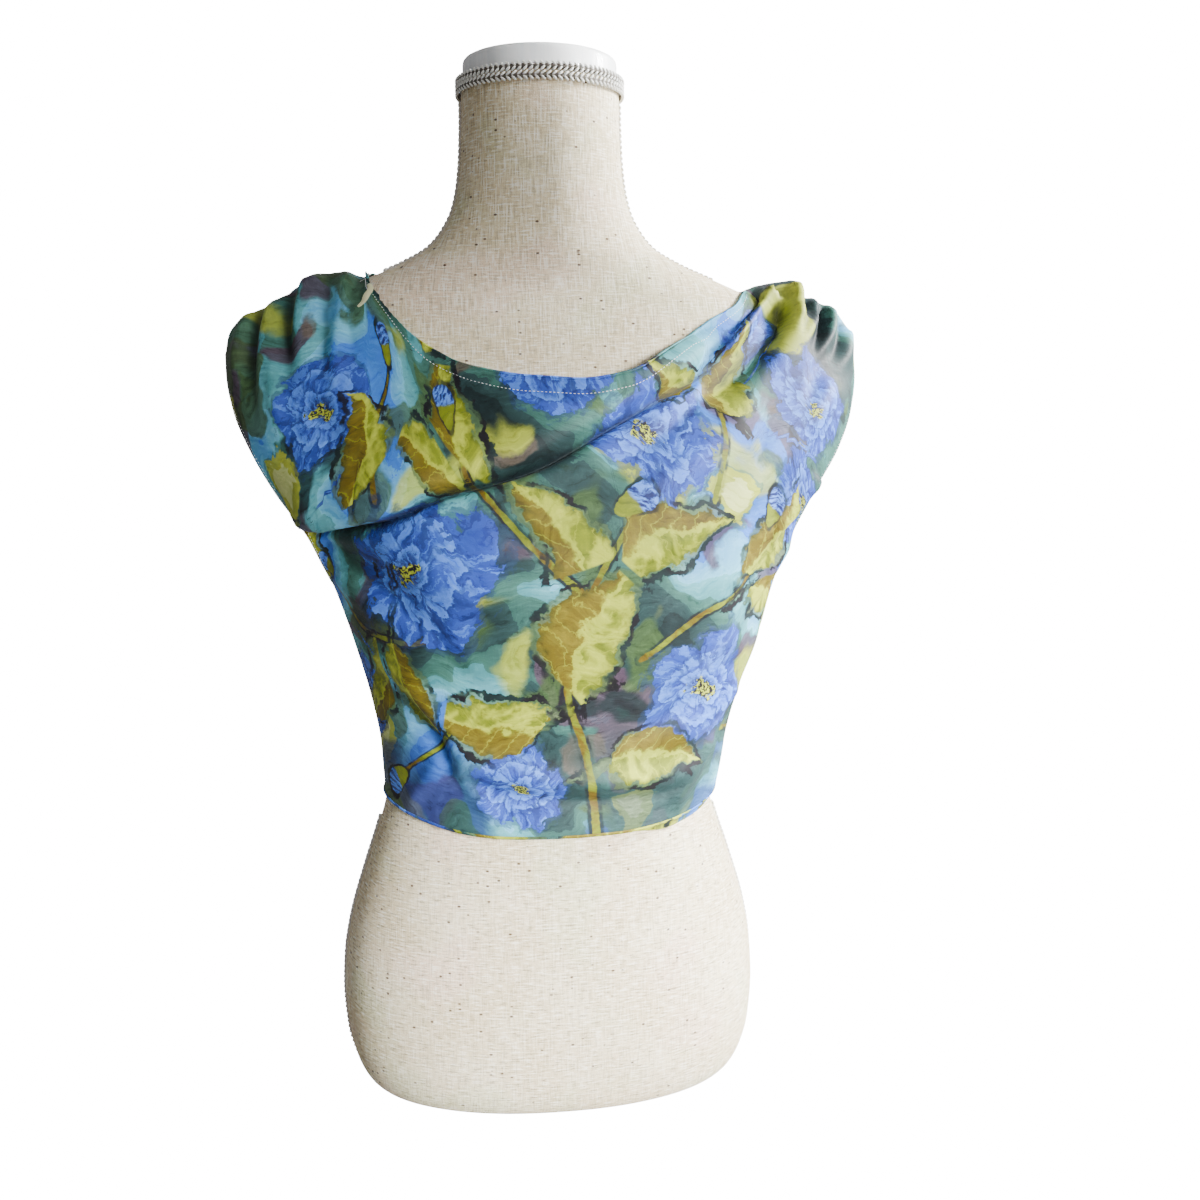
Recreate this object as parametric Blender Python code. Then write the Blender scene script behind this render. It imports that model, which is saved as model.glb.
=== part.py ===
# Cowl neck crop top worn by a limbless dress form. Units are metres, +Z is up, the front faces -Y.

import math
from collections import namedtuple

import bmesh
import bpy
import numpy as np
from mathutils import Vector
from mathutils.bvhtree import BVHTree

for old in list(bpy.data.objects):
    bpy.data.objects.remove(old)

# ---------------------------------------------------------------- driving sizes

wall = 0.0012             # cloth thickness
seam_gap = 0.0004         # between two panels at a seam, and between a panel and its turned hem
hem_wall = 0.0010         # thickness of a turned hem
tab_wall = 0.0008
neck_hem_width = 0.014
waist_hem_width = 0.014
hem_turn = 0.04           # where the hem bends below the panel, as a share of its width
hem_drop = 0.007          # by which the turned hem shows below the edge at the right
tube_clearance = 0.0030   # cloth centre surface to the form, leaves room for the hems inside
rest_clearance = 0.0010   # the same where the shoulders rest on the form

form_segments = 44
shoulder_cells = 12       # cells across each shoulder
front_neck_cells = 20     # cells across the front neckline
back_neck_cells = 14
front_rows = 30
back_rows = 22

panel_height = 0.355      # from the waist hem to the neck edge in the middle
edge_cell = 0.03          # share of the half width that an armhole hem takes
neck_share = 0.60         # share of the half width that the neckline takes at the top
side_angle = math.radians(90.0)
roll_from = 0.55          # share of the height at which a panel begins to roll over the shoulder

braid_radius = 0.0031
braid_stand_off = 0.0034   # centre of the braid to the neck
tape_radius = 0.0022
hip_tape = (0.008, 0.229)    # heights between which the side braid runs below the hem
neck_tape = (0.670, 0.8055)  # and up the neck
cap_radius = 0.0618
cap_height = 0.0170
cap_depth = 0.955         # front to back as a share of the width
rest_gap = 0.0003

# ---------------------------------------------------------------- tables

# The form, a section per row: height, half width, depth to the front and back, squareness.
FormRow = namedtuple("FormRow", "z half front back square")
form_rows = [
    FormRow(0.000, 0.144, 0.090, 0.087, 2.2),
    FormRow(0.004, 0.153, 0.098, 0.095, 2.2),
    FormRow(0.012, 0.160, 0.105, 0.102, 2.2),
    FormRow(0.025, 0.166, 0.110, 0.109, 2.2),
    FormRow(0.045, 0.171, 0.114, 0.115, 2.2),
    FormRow(0.080, 0.1735, 0.116, 0.120, 2.2),
    FormRow(0.110, 0.172, 0.114, 0.121, 2.2),
    FormRow(0.140, 0.167, 0.110, 0.118, 2.2),
    FormRow(0.188, 0.153, 0.102, 0.109, 2.2),
    FormRow(0.215, 0.144, 0.097, 0.101, 2.1),
    FormRow(0.241, 0.1365, 0.093, 0.095, 2.1),
    FormRow(0.275, 0.1315, 0.091, 0.090, 2.1),
    FormRow(0.300, 0.133, 0.094, 0.089, 2.1),
    FormRow(0.340, 0.140, 0.104, 0.090, 2.1),
    FormRow(0.380, 0.150, 0.115, 0.094, 2.1),
    FormRow(0.420, 0.159, 0.123, 0.100, 2.1),
    FormRow(0.460, 0.169, 0.124, 0.106, 2.1),
    FormRow(0.500, 0.181, 0.117, 0.110, 2.1),
    FormRow(0.540, 0.193, 0.108, 0.112, 2.1),
    FormRow(0.570, 0.200, 0.100, 0.111, 2.1),
    FormRow(0.600, 0.205, 0.090, 0.107, 2.1),
    FormRow(0.620, 0.203, 0.083, 0.101, 2.1),
    FormRow(0.633, 0.197, 0.078, 0.095, 2.1),
    FormRow(0.645, 0.184, 0.073, 0.088, 2.1),
    FormRow(0.655, 0.164, 0.069, 0.083, 2.1),
    FormRow(0.666, 0.139, 0.066, 0.079, 2.0),
    FormRow(0.677, 0.1130, 0.064, 0.075, 2.0),
    FormRow(0.690, 0.0905, 0.062, 0.071, 2.0),
    FormRow(0.704, 0.0785, 0.060, 0.068, 2.0),
    FormRow(0.720, 0.0705, 0.059, 0.065, 2.0),
    FormRow(0.740, 0.0660, 0.0585, 0.063, 2.0),
    FormRow(0.766, 0.0636, 0.0585, 0.062, 2.0),
    FormRow(0.794, 0.0628, 0.0590, 0.061, 2.0),
    FormRow(0.816, 0.0628, 0.0590, 0.061, 2.0),
    FormRow(0.819, 0.0612, 0.0575, 0.0595, 2.0),
]

# Soft mounds on the form's front: centre, spread and height.
Mound = namedtuple("Mound", "x z spread_x spread_z height")
bust_mounds = [
    Mound(-0.075, 0.445, 0.042, 0.046, 0.013),
    Mound(0.075, 0.445, 0.042, 0.046, 0.013),
]

# Side outline of the panels: height and distance from the middle on each side.
SideRow = namedtuple("SideRow", "z left right_back right_front")
side_rows = [
    SideRow(0.236, 0.1350, 0.1400, 0.1400),
    SideRow(0.270, 0.1375, 0.1480, 0.1480),
    SideRow(0.288, 0.1385, 0.1510, 0.1510),
    SideRow(0.325, 0.1450, 0.1620, 0.1620),
    SideRow(0.370, 0.1570, 0.1790, 0.1790),
    SideRow(0.411, 0.1700, 0.1910, 0.1840),
    SideRow(0.440, 0.1810, 0.2010, 0.1900),
    SideRow(0.463, 0.1900, 0.2100, 0.1980),
    SideRow(0.498, 0.2120, 0.2260, 0.2170),
    SideRow(0.530, 0.2300, 0.2430, 0.2380),
    SideRow(0.561, 0.2440, 0.2560, 0.2530),
    SideRow(0.590, 0.2510, 0.2610, 0.2600),
    SideRow(0.606, 0.2520, 0.2600, 0.2600),
]

# Shoulder line from the tip to the neck point, shared by both panels: along is 0 at the tip.
ShoulderRow = namedtuple("ShoulderRow", "along x z")
left_shoulder = [
    ShoulderRow(0.00, -0.2510, 0.6060),
    ShoulderRow(0.13, -0.2475, 0.6220),
    ShoulderRow(0.25, -0.2360, 0.6350),
    ShoulderRow(0.45, -0.2080, 0.6480),
    ShoulderRow(0.58, -0.1900, 0.6610),
    ShoulderRow(0.70, -0.1760, 0.6675),
    ShoulderRow(0.83, -0.1600, 0.6700),
    ShoulderRow(0.92, -0.1470, 0.6670),
    ShoulderRow(1.00, -0.1360, 0.6660),
]
right_shoulder = [
    ShoulderRow(0.00, 0.2590, 0.6060),
    ShoulderRow(0.14, 0.2570, 0.6200),
    ShoulderRow(0.28, 0.2490, 0.6360),
    ShoulderRow(0.42, 0.2360, 0.6460),
    ShoulderRow(0.60, 0.2160, 0.6540),
    ShoulderRow(0.70, 0.2060, 0.6660),
    ShoulderRow(0.83, 0.1870, 0.6640),
    ShoulderRow(1.00, 0.1680, 0.6590),
]

# Necklines between the two neck points, left to right.
NeckRow = namedtuple("NeckRow", "across x y z")
front_neckline = [
    NeckRow(0.00, -0.1360, -0.0002, 0.6660),
    NeckRow(0.06, -0.1320, -0.0240, 0.6470),
    NeckRow(0.15, -0.1170, -0.0500, 0.6280),
    NeckRow(0.24, -0.0950, -0.0740, 0.6080),
    NeckRow(0.36, -0.0590, -0.0970, 0.5920),
    NeckRow(0.48, -0.0200, -0.1080, 0.5850),
    NeckRow(0.60, 0.0180, -0.1090, 0.5840),
    NeckRow(0.70, 0.0500, -0.1010, 0.5920),
    NeckRow(0.80, 0.0860, -0.0860, 0.6030),
    NeckRow(0.88, 0.1180, -0.0660, 0.6150),
    NeckRow(0.95, 0.1460, -0.0400, 0.6320),
    NeckRow(1.00, 0.1680, -0.0002, 0.6590),
]
back_neckline = [
    NeckRow(0.00, -0.1360, 0.0002, 0.6660),
    NeckRow(0.15, -0.1130, 0.0420, 0.6520),
    NeckRow(0.35, -0.0620, 0.0880, 0.6360),
    NeckRow(0.50, 0.0120, 0.1010, 0.6310),
    NeckRow(0.68, 0.0820, 0.0860, 0.6360),
    NeckRow(0.87, 0.1440, 0.0400, 0.6490),
    NeckRow(1.00, 0.1680, 0.0002, 0.6590),
]

# Depth of each panel in the middle, by height.
DepthRow = namedtuple("DepthRow", "z front back")
depth_rows = [
    DepthRow(0.236, 0.1030, 0.1020),
    DepthRow(0.270, 0.1010, 0.0970),
    DepthRow(0.300, 0.1060, 0.0980),
    DepthRow(0.340, 0.1180, 0.1010),
    DepthRow(0.390, 0.1340, 0.1070),
    DepthRow(0.430, 0.1420, 0.1130),
    DepthRow(0.470, 0.1450, 0.1180),
    DepthRow(0.510, 0.1420, 0.1200),
    DepthRow(0.550, 0.1280, 0.1190),
    DepthRow(0.590, 0.1080, 0.1150),
    DepthRow(0.640, 0.1000, 0.1020),
]

# Folds, seen from the panel's own front: a curve through three points (across x, height z),
# half width, height (negative is a trough), sag of the crest and how much each end fades.
Fold = namedtuple("Fold", "x0 z0 x1 z1 x2 z2 width height sag fade0 fade1")
front_folds = [
    # the large cowl fold from the right shoulder, its crest and the trough below it
    Fold(0.150, 0.640, 0.060, 0.566, -0.100, 0.560, 0.024, 0.0100, 0.25, 0.10, 0.35),
    Fold(0.135, 0.616, 0.055, 0.528, -0.100, 0.522, 0.020, -0.0060, 0.0, 0.15, 0.35),
    # the second fold, hanging over at the left
    Fold(-0.215, 0.492, -0.120, 0.498, -0.020, 0.520, 0.026, 0.0100, 0.2, 0.02, 0.45),
    Fold(-0.205, 0.444, -0.120, 0.456, -0.030, 0.486, 0.020, -0.0050, 0.0, 0.02, 0.45),
    Fold(-0.180, 0.452, -0.145, 0.430, -0.100, 0.382, 0.016, -0.0040, 0.0, 0.15, 0.45),
    # two rolls that run up to the right neck point, with the hollow under them
    Fold(0.172, 0.655, 0.142, 0.636, 0.095, 0.606, 0.012, 0.0040, 0.0, 0.05, 0.45),
    Fold(0.193, 0.652, 0.168, 0.632, 0.128, 0.600, 0.014, 0.0080, 0.2, 0.05, 0.35),
    Fold(0.205, 0.636, 0.172, 0.606, 0.120, 0.580, 0.014, -0.0060, 0.0, 0.10, 0.40),
    # small gathers at the right shoulder
    Fold(0.214, 0.648, 0.210, 0.620, 0.196, 0.585, 0.010, 0.0040, 0.0, 0.05, 0.50),
    Fold(0.236, 0.640, 0.232, 0.615, 0.222, 0.580, 0.010, 0.0040, 0.0, 0.05, 0.50),
    # pleats at the left shoulder
    Fold(-0.218, 0.640, -0.228, 0.590, -0.224, 0.530, 0.012, 0.0050, 0.0, 0.05, 0.50),
    Fold(-0.202, 0.642, -0.210, 0.590, -0.206, 0.535, 0.011, -0.0060, 0.0, 0.05, 0.50),
    Fold(-0.182, 0.655, -0.190, 0.618, -0.160, 0.575, 0.013, 0.0060, 0.0, 0.05, 0.50),
    Fold(-0.153, 0.660, -0.156, 0.620, -0.150, 0.570, 0.012, -0.0040, 0.0, 0.05, 0.50),
    # drags above the waist, and the soft roll across it
    Fold(-0.130, 0.345, -0.105, 0.320, -0.080, 0.290, 0.014, -0.0030, 0.0, 0.30, 0.30),
    Fold(-0.084, 0.300, 0.010, 0.272, 0.118, 0.284, 0.018, 0.0050, 0.2, 0.20, 0.20),
    Fold(0.150, 0.372, 0.090, 0.325, 0.030, 0.300, 0.018, -0.0040, 0.0, 0.20, 0.45),
]
back_folds = [
    Fold(-0.190, 0.652, -0.175, 0.590, -0.140, 0.520, 0.014, 0.0050, 0.0, 0.05, 0.50),
    Fold(-0.222, 0.636, -0.215, 0.580, -0.190, 0.510, 0.014, 0.0050, 0.0, 0.05, 0.50),
    Fold(0.190, 0.652, 0.178, 0.590, 0.140, 0.515, 0.014, 0.0050, 0.0, 0.05, 0.50),
    Fold(0.226, 0.640, 0.220, 0.580, 0.190, 0.510, 0.014, 0.0050, 0.0, 0.05, 0.50),
    Fold(-0.110, 0.630, 0.000, 0.570, 0.120, 0.632, 0.022, 0.0040, 0.2, 0.25, 0.25),
    Fold(-0.150, 0.400, -0.060, 0.330, 0.060, 0.318, 0.022, 0.0060, 0.2, 0.25, 0.30),
    Fold(0.150, 0.372, 0.070, 0.300, -0.040, 0.282, 0.020, 0.0050, 0.2, 0.25, 0.30),
]

# Height at which each side seam ends and the armhole begins, and how far the edge swings out.
underarm_left = 0.420
underarm_right = 0.372
armhole_swing = 0.050
settle_rounds = 5
settle_samples = 5
edge_calm = 0.16          # share of the half width over which folds die out toward the side edges

# ---------------------------------------------------------------- materials


def material(name, colour, roughness=0.6, sheen=0.0):
    made = bpy.data.materials.new(name)
    made.use_nodes = True
    shader = made.node_tree.nodes["Principled BSDF"]
    shader.inputs["Base Color"].default_value = (*colour, 1.0)
    shader.inputs["Roughness"].default_value = roughness
    shader.inputs["Sheen Weight"].default_value = sheen
    made.diffuse_color = (*colour, 1.0)
    return made


front_cloth = material("front_print", (0.30, 0.50, 0.55), 0.45, 0.2)
back_cloth = material("back_print", (0.32, 0.52, 0.50), 0.45, 0.2)
hem_cloth = material("hem_print", (0.46, 0.60, 0.62), 0.5, 0.1)
linen = material("linen_cover", (0.66, 0.62, 0.55), 0.85)
cap_white = material("cap_white", (0.82, 0.83, 0.84), 0.4)
braid_white = material("braid_white", (0.78, 0.78, 0.76), 0.6)
tab_cream = material("tab_cream", (0.82, 0.78, 0.62), 0.6)

# ---------------------------------------------------------------- curves and meshes


def along(rows, key, value, at):
    """Monotone cubic through one column of a table."""
    xs = np.array([getattr(row, key) for row in rows])
    ys = np.array([getattr(row, value) for row in rows])
    step = np.diff(xs)
    slope = np.diff(ys) / step
    tangent = np.empty_like(ys)
    tangent[0] = slope[0]
    tangent[-1] = slope[-1]
    same = slope[:-1] * slope[1:] > 0
    mean = np.where(same, 2 * slope[:-1] * slope[1:] / np.where(same, slope[:-1] + slope[1:], 1), 0)
    tangent[1:-1] = mean
    at = np.clip(at, xs[0], xs[-1])
    cell = np.clip(np.searchsorted(xs, at, side="right") - 1, 0, len(step) - 1)
    t = (at - xs[cell]) / step[cell]
    h = step[cell]
    return (ys[cell] * (1 + 2 * t) * (1 - t) ** 2 + ys[cell + 1] * t * t * (3 - 2 * t)
            + tangent[cell] * h * t * (1 - t) ** 2 - tangent[cell + 1] * h * t * t * (1 - t))


def smooth(low, high, value):
    t = np.clip((value - low) / (high - low), 0.0, 1.0)
    return t * t * (3 - 2 * t)


def add_mesh(name, verts, faces, look):
    mesh = bpy.data.meshes.new(name)
    mesh.from_pydata([tuple(v) for v in verts], [], faces)
    mesh.materials.append(look)
    shape = bmesh.new()
    shape.from_mesh(mesh)
    bmesh.ops.recalc_face_normals(shape, faces=shape.faces)
    shape.to_mesh(mesh)
    shape.free()
    obj = bpy.data.objects.new(name, mesh)
    bpy.context.scene.collection.objects.link(obj)
    return obj


def ring_solid(name, rings, look):
    """Closed solid through rings of equal count, with a fan at each end."""
    count = len(rings[0])
    verts = [point for ring in rings for point in ring]
    faces = []
    for level in range(len(rings) - 1):
        low = level * count
        for k in range(count):
            after = (k + 1) % count
            faces.append((low + k, low + after, low + count + after, low + count + k))
    for ring, start in ((rings[0], 0), (rings[-1], (len(rings) - 1) * count)):
        verts.append(np.mean(np.array(ring), axis=0))
        hub = len(verts) - 1
        faces += [(start + k, start + (k + 1) % count, hub) for k in range(count)]
    return add_mesh(name, verts, faces, look)


def tube(name, path, radii, look, closed=False, sides=6, up=(0, 0, 1)):
    """Tube of a few flat sides along a path, radii are (out, along the surface)."""
    path = [Vector(p) for p in path]
    rings = []
    for k, here in enumerate(path):
        before = path[k - 1] if closed or k else path[k]
        after = path[(k + 1) % len(path)] if closed or k < len(path) - 1 else path[k]
        run = (after - before).normalized()
        side = run.cross(Vector(up)).normalized()
        lift = side.cross(run).normalized()
        ring = []
        for j in range(sides):
            turn = 2 * math.pi * (j + 0.5) / sides
            ring.append(here + side * radii[0] * math.cos(turn) + lift * radii[1] * math.sin(turn))
        rings.append(ring)
    if not closed:
        return ring_solid(name, rings, look)
    verts = [point for ring in rings for point in ring]
    faces = []
    for level in range(len(rings)):
        low = level * sides
        high = ((level + 1) % len(rings)) * sides
        for k in range(sides):
            after = (k + 1) % sides
            faces.append((low + k, low + after, high + after, high + k))
    return add_mesh(name, verts, faces, look)


def grid_normals(grid):
    down = np.gradient(grid, axis=0)
    across = np.gradient(grid, axis=1)
    normal = np.cross(across, down)
    return normal / np.linalg.norm(normal, axis=2, keepdims=True)


def sheet_solid(name, grid, normal, thickness, look):
    """Closed wall of even thickness about a grid of points."""
    rows, columns = grid.shape[:2]
    outer = (grid + normal * thickness / 2).reshape(-1, 3)
    inner = (grid - normal * thickness / 2).reshape(-1, 3)
    verts = np.vstack([outer, inner])
    back = rows * columns
    faces = []
    for j in range(rows - 1):
        for i in range(columns - 1):
            a, b = j * columns + i, j * columns + i + 1
            c, d = b + columns, a + columns
            for p, q, r in ((a, b, c), (a, c, d)):
                faces.append((p, q, r))
                faces.append((back + r, back + q, back + p))
    rim = [j * columns for j in range(rows)]
    rim += [(rows - 1) * columns + i for i in range(1, columns)]
    rim += [j * columns + columns - 1 for j in range(rows - 2, -1, -1)]
    rim += list(range(columns - 2, 0, -1))
    for k, a in enumerate(rim):
        b = rim[(k + 1) % len(rim)]
        faces.append((a, b, back + b, back + a))
    return add_mesh(name, verts, faces, look)


# ---------------------------------------------------------------- the dress form


def form_point(z, angle):
    half = along(form_rows, "z", "half", z)
    front = along(form_rows, "z", "front", z)
    back = along(form_rows, "z", "back", z)
    power = 2.0 / along(form_rows, "z", "square", z)
    c, s = math.cos(angle), math.sin(angle)
    x = half * math.copysign(abs(c) ** power, c)
    y = (back if s > 0 else front) * math.copysign(abs(s) ** power, s)
    if s < 0:
        for mound in bust_mounds:
            apart = ((x - mound.x) / mound.spread_x) ** 2 + ((z - mound.z) / mound.spread_z) ** 2
            y -= mound.height * math.exp(-apart / 2) * min(1.0, -s * 2)
    return (float(x), float(y), float(z))


def form_ring(z):
    return [form_point(z, 2 * math.pi * k / form_segments) for k in range(form_segments)]


form_body = ring_solid("form_body", [form_ring(row.z) for row in form_rows], linen)
form_tree = BVHTree.FromPolygons([v.co for v in form_body.data.vertices],
                                 [tuple(p.vertices) for p in form_body.data.polygons])

neck_top = form_rows[-1].z
CapRow = namedtuple("CapRow", "rise spread")
cap_rows = [
    CapRow(0.0, 0.990),
    CapRow(0.62, 0.990),
    CapRow(0.86, 0.966),
    CapRow(0.97, 0.912),
    CapRow(1.0, 0.83),
]
cap_rings = []
for row in cap_rows:
    ring = []
    for k in range(form_segments):
        turn = 2 * math.pi * k / form_segments
        reach = cap_radius * row.spread
        ring.append((reach * math.cos(turn), reach * cap_depth * math.sin(turn),
                     neck_top + rest_gap + row.rise * cap_height))
    cap_rings.append(ring)
neck_cap = ring_solid("neck_cap", cap_rings, cap_white)

# Two rows of braid round the neck top, the upper one beside the cap.
BraidRow = namedtuple("BraidRow", "name z")
for row in (BraidRow("neck_braid_lower", 0.8100), BraidRow("neck_braid_upper", 0.8168)):
    path = []
    for k in range(form_segments):
        turn = 2 * math.pi * k / form_segments
        x, y, _ = form_point(0.800, turn)
        path.append((x + braid_stand_off * math.cos(turn), y + braid_stand_off * math.sin(turn), row.z))
    tube(row.name, path, (braid_radius, braid_radius), braid_white, closed=True, sides=6)


def side_path(side, z_from, z_to, lift):
    """Path up the side of the form along its own sections, lifted off it."""
    heights = [z_from] + [row.z for row in form_rows if z_from < row.z < z_to] + [z_to]
    spots = [Vector(form_point(z, 0.0 if side > 0 else math.pi)) for z in heights]
    path = []
    for k, spot in enumerate(spots):
        run = spots[min(k + 1, len(spots) - 1)] - spots[max(k - 1, 0)]
        out = Vector((run.z, 0.0, -run.x)).normalized()
        path.append(spot + out * (lift if out.x * side > 0 else -lift))
    return path


tape_lift = tape_radius + seam_gap
for side, word in ((-1, "left"), (1, "right")):
    for name, ends in (("side_braid_", hip_tape), ("neck_side_braid_", neck_tape)):
        tube(name + word, side_path(side, *ends, tape_lift),
             (tape_radius * 1.7, tape_radius), braid_white, up=(1, 0, 0))

# ---------------------------------------------------------------- cloth panels


def across_stations(neck_cells):
    """Places across a panel, -1 at the left edge and 1 at the right."""
    left = np.concatenate([[-1.0], np.linspace(-1.0 + edge_cell, -neck_share, shoulder_cells)])
    middle = np.linspace(-neck_share, neck_share, neck_cells + 1)[1:-1]
    return np.concatenate([left, middle, -left[::-1]])


def up_stations(rows, hem_share, top_share):
    """Places up a panel, 0 at the waist hem and 1 at the shoulder or neck edge."""
    return np.concatenate([[0.0], np.linspace(hem_share, 1.0 - top_share, rows - 1), [1.0]])


def top_edge(u, neckline, gap):
    """Shoulder lines and neckline as one line across the panel's top."""
    left_along = (u + 1.0) / (1.0 - neck_share)
    right_along = (1.0 - u) / (1.0 - neck_share)
    neck_across = (u + neck_share) / (2 * neck_share)
    line = np.zeros((len(u), 3))
    for k, here in enumerate(u):
        if here <= -neck_share + 1e-9:
            line[k] = (along(left_shoulder, "along", "x", left_along[k]), gap,
                       along(left_shoulder, "along", "z", left_along[k]))
        elif here >= neck_share - 1e-9:
            line[k] = (along(right_shoulder, "along", "x", right_along[k]), gap,
                       along(right_shoulder, "along", "z", right_along[k]))
        else:
            line[k] = [along(neckline, "across", key, neck_across[k]) for key in "xyz"]
    return line


def fold_shift(fold, x, z):
    """Height of one fold at each point, fading to nothing away from its curve."""
    best = np.full(x.shape, 1e9)
    place = np.zeros(x.shape)
    for t in np.linspace(0.0, 1.0, 41):
        cx = (1 - t) ** 2 * fold.x0 + 2 * t * (1 - t) * fold.x1 + t * t * fold.x2
        cz = (1 - t) ** 2 * fold.z0 + 2 * t * (1 - t) * fold.z1 + t * t * fold.z2
        gap = np.hypot(x - cx, z - cz)
        nearer = gap < best
        best = np.where(nearer, gap, best)
        place = np.where(nearer, t, place)
    ends = smooth(0.0, fold.fade0, place + 0.001) * smooth(0.0, fold.fade1, 1.001 - place)
    return np.exp(-((best / fold.width) ** 2) * 1.4) * ends


def shortage(spot, clearance):
    """How far a point has to move to stand clear of the form, as a vector."""
    here = Vector(spot)
    near, normal, _, apart = form_tree.find_nearest(here)
    depth = -apart if (here - near).dot(normal) < 0 else apart
    return np.array(normal) * max(0.0, clearance - depth)


def settle(grid, clearance):
    """Moves the grid out from the form until its cells are clear all over, not only at their points."""
    moved = grid.copy()
    rows, columns = grid.shape[:2]
    steps = np.linspace(0.0, 1.0, settle_samples)
    for _ in range(settle_rounds):
        push = np.zeros(moved.shape)
        for j in range(rows - 1):
            for i in range(columns - 1):
                spots = ((j, i), (j, i + 1), (j + 1, i), (j + 1, i + 1))
                for up in steps:
                    for over in steps:
                        weights = ((1 - up) * (1 - over), (1 - up) * over, up * (1 - over), up * over)
                        place = sum(w * moved[spot] for w, spot in zip(weights, spots))
                        lack = shortage(place, clearance[j, i])
                        for w, spot in zip(weights, spots):
                            if w > 0.2 and np.linalg.norm(lack) > np.linalg.norm(push[spot]):
                                push[spot] = lack
        moved += push
    return moved


def panel(face, u, v, neckline, folds):
    """Centre surface of a panel. face is -1 for the front and 1 for the back."""
    right_key = "right_front" if face < 0 else "right_back"
    depth_key = "front" if face < 0 else "back"
    top = top_edge(u, neckline, face * seam_gap / 2)
    angle = u * side_angle
    turn = np.sin(angle)
    hem_z = 0.2350 + 0.008 * smooth(0.35, 1.0, np.abs(u))
    # rows crowd toward the shoulder line, where the panel rolls over the top
    past = np.clip((v[:, None] - roll_from) / (1 - roll_from), 0.0, 1.0)
    crowded = np.where(past > 0, roll_from + (1 - roll_from) * np.sin(past * math.pi / 2), v[:, None])
    at_shoulder = smooth(0.20, 0.50, np.abs(u))[None, :]
    up = v[:, None] * (1 - at_shoulder) + crowded * at_shoulder
    z = hem_z[None, :] + (top[:, 2] - hem_z)[None, :] * up
    edge_left = along(side_rows, "z", "left", z[:, 0])
    edge_right = along(side_rows, "z", right_key, z[:, -1])
    reach = np.where(u[None, :] < 0, edge_left[:, None], edge_right[:, None])
    top_reach = np.where(u < 0, -top[0, 0], top[-1, 0])
    blend = smooth(0.40, 1.0, up)
    share = turn[None, :] * (1 - blend) + (top[:, 0] / top_reach)[None, :] * blend
    x = share * reach

    start_left = (underarm_left - hem_z[0]) / (top[0, 2] - hem_z[0])
    start_right = (underarm_right - hem_z[-1]) / (top[-1, 2] - hem_z[-1])
    start = np.where(u < 0, start_left, start_right)[None, :]
    rise = np.clip((up - start) / (1 - start), 0.0, 1.0)
    edge_y = armhole_swing * np.sin(math.pi * rise) + seam_gap / 2
    depth = along(depth_rows, "z", depth_key, z)
    fullness = np.sqrt(np.clip(1 - share ** 2, 0.0, 1.0))
    base_y = face * (edge_y + (depth - edge_y) * fullness)
    roll = np.sqrt(1 - np.clip((up - roll_from) / (1 - roll_from), 0.0, 1.0) ** 2)
    y = top[:, 1][None, :] + (base_y - top[:, 1][None, :]) * roll
    grid = np.stack([x, y, z], axis=2)

    normal = grid_normals(grid) * (1 if face < 0 else -1)
    edge_fade = smooth(0.0, edge_calm, 1 - np.abs(u))[None, :]
    seam_fade = np.where(np.abs(u)[None, :] > neck_share, smooth(0.0, 0.05, 1 - up), 1.0)
    shift = np.zeros(x.shape)
    sag = np.zeros(x.shape)
    for fold in folds:
        one = fold_shift(fold, x, z) * fold.height * edge_fade * seam_fade
        shift += one
        sag += one * fold.sag
    grid = grid + normal * shift[:, :, None]
    grid[:, :, 2] -= sag
    clearance = np.full(x.shape, tube_clearance)
    on_shoulder = (np.abs(u)[None, :] >= neck_share - 1e-9) & (up > 0.93)
    clearance = np.where(on_shoulder, rest_clearance, clearance)
    grid = settle(grid, clearance)
    normal = grid_normals(grid) * (1 if face < 0 else -1)

    # seams meet the other panel squarely across the plane y = 0
    at_seam = np.zeros(x.shape, dtype=bool)
    at_seam[-1] = np.abs(u) >= neck_share - 1e-9
    at_seam[:, 0] |= grid[:, 0, 2] < underarm_left
    at_seam[:, -1] |= grid[:, -1, 2] < underarm_right
    nearest = np.where(at_seam, seam_gap / 2, seam_gap / 2 + wall / 2)
    grid[:, :, 1] = face * np.maximum(face * grid[:, :, 1], nearest)
    grid[:, :, 1] = np.where(at_seam, face * seam_gap / 2, grid[:, :, 1])
    normal[:, :, 1] = np.where(at_seam, 0.0, normal[:, :, 1])
    normal /= np.linalg.norm(normal, axis=2, keepdims=True)
    return grid, normal


front_u = across_stations(front_neck_cells)
back_u = across_stations(back_neck_cells)
front_v = up_stations(front_rows, waist_hem_width / panel_height, neck_hem_width / panel_height)
back_v = up_stations(back_rows, waist_hem_width / panel_height, neck_hem_width / panel_height)

front_grid, front_normal = panel(-1, front_u, front_v, front_neckline, front_folds)
back_grid, back_normal = panel(1, back_u, back_v, back_neckline, back_folds)
for shared in (slice(0, shoulder_cells + 1), slice(-shoulder_cells - 1, None)):
    # both panels follow one line along each shoulder seam
    for key in (0, 2):
        line = (front_grid[-1, shared, key] + back_grid[-1, shared, key]) / 2
        front_grid[-1, shared, key] = line
        back_grid[-1, shared, key] = line
sheet_solid("front_panel", front_grid, front_normal, wall, front_cloth)
sheet_solid("back_panel", back_grid, back_normal, wall, back_cloth)


def lining_of(grid, normal):
    """The same points moved in behind the panel, for a hem turned to the inside."""
    return grid - normal * (wall / 2 + seam_gap + hem_wall / 2)


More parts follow.
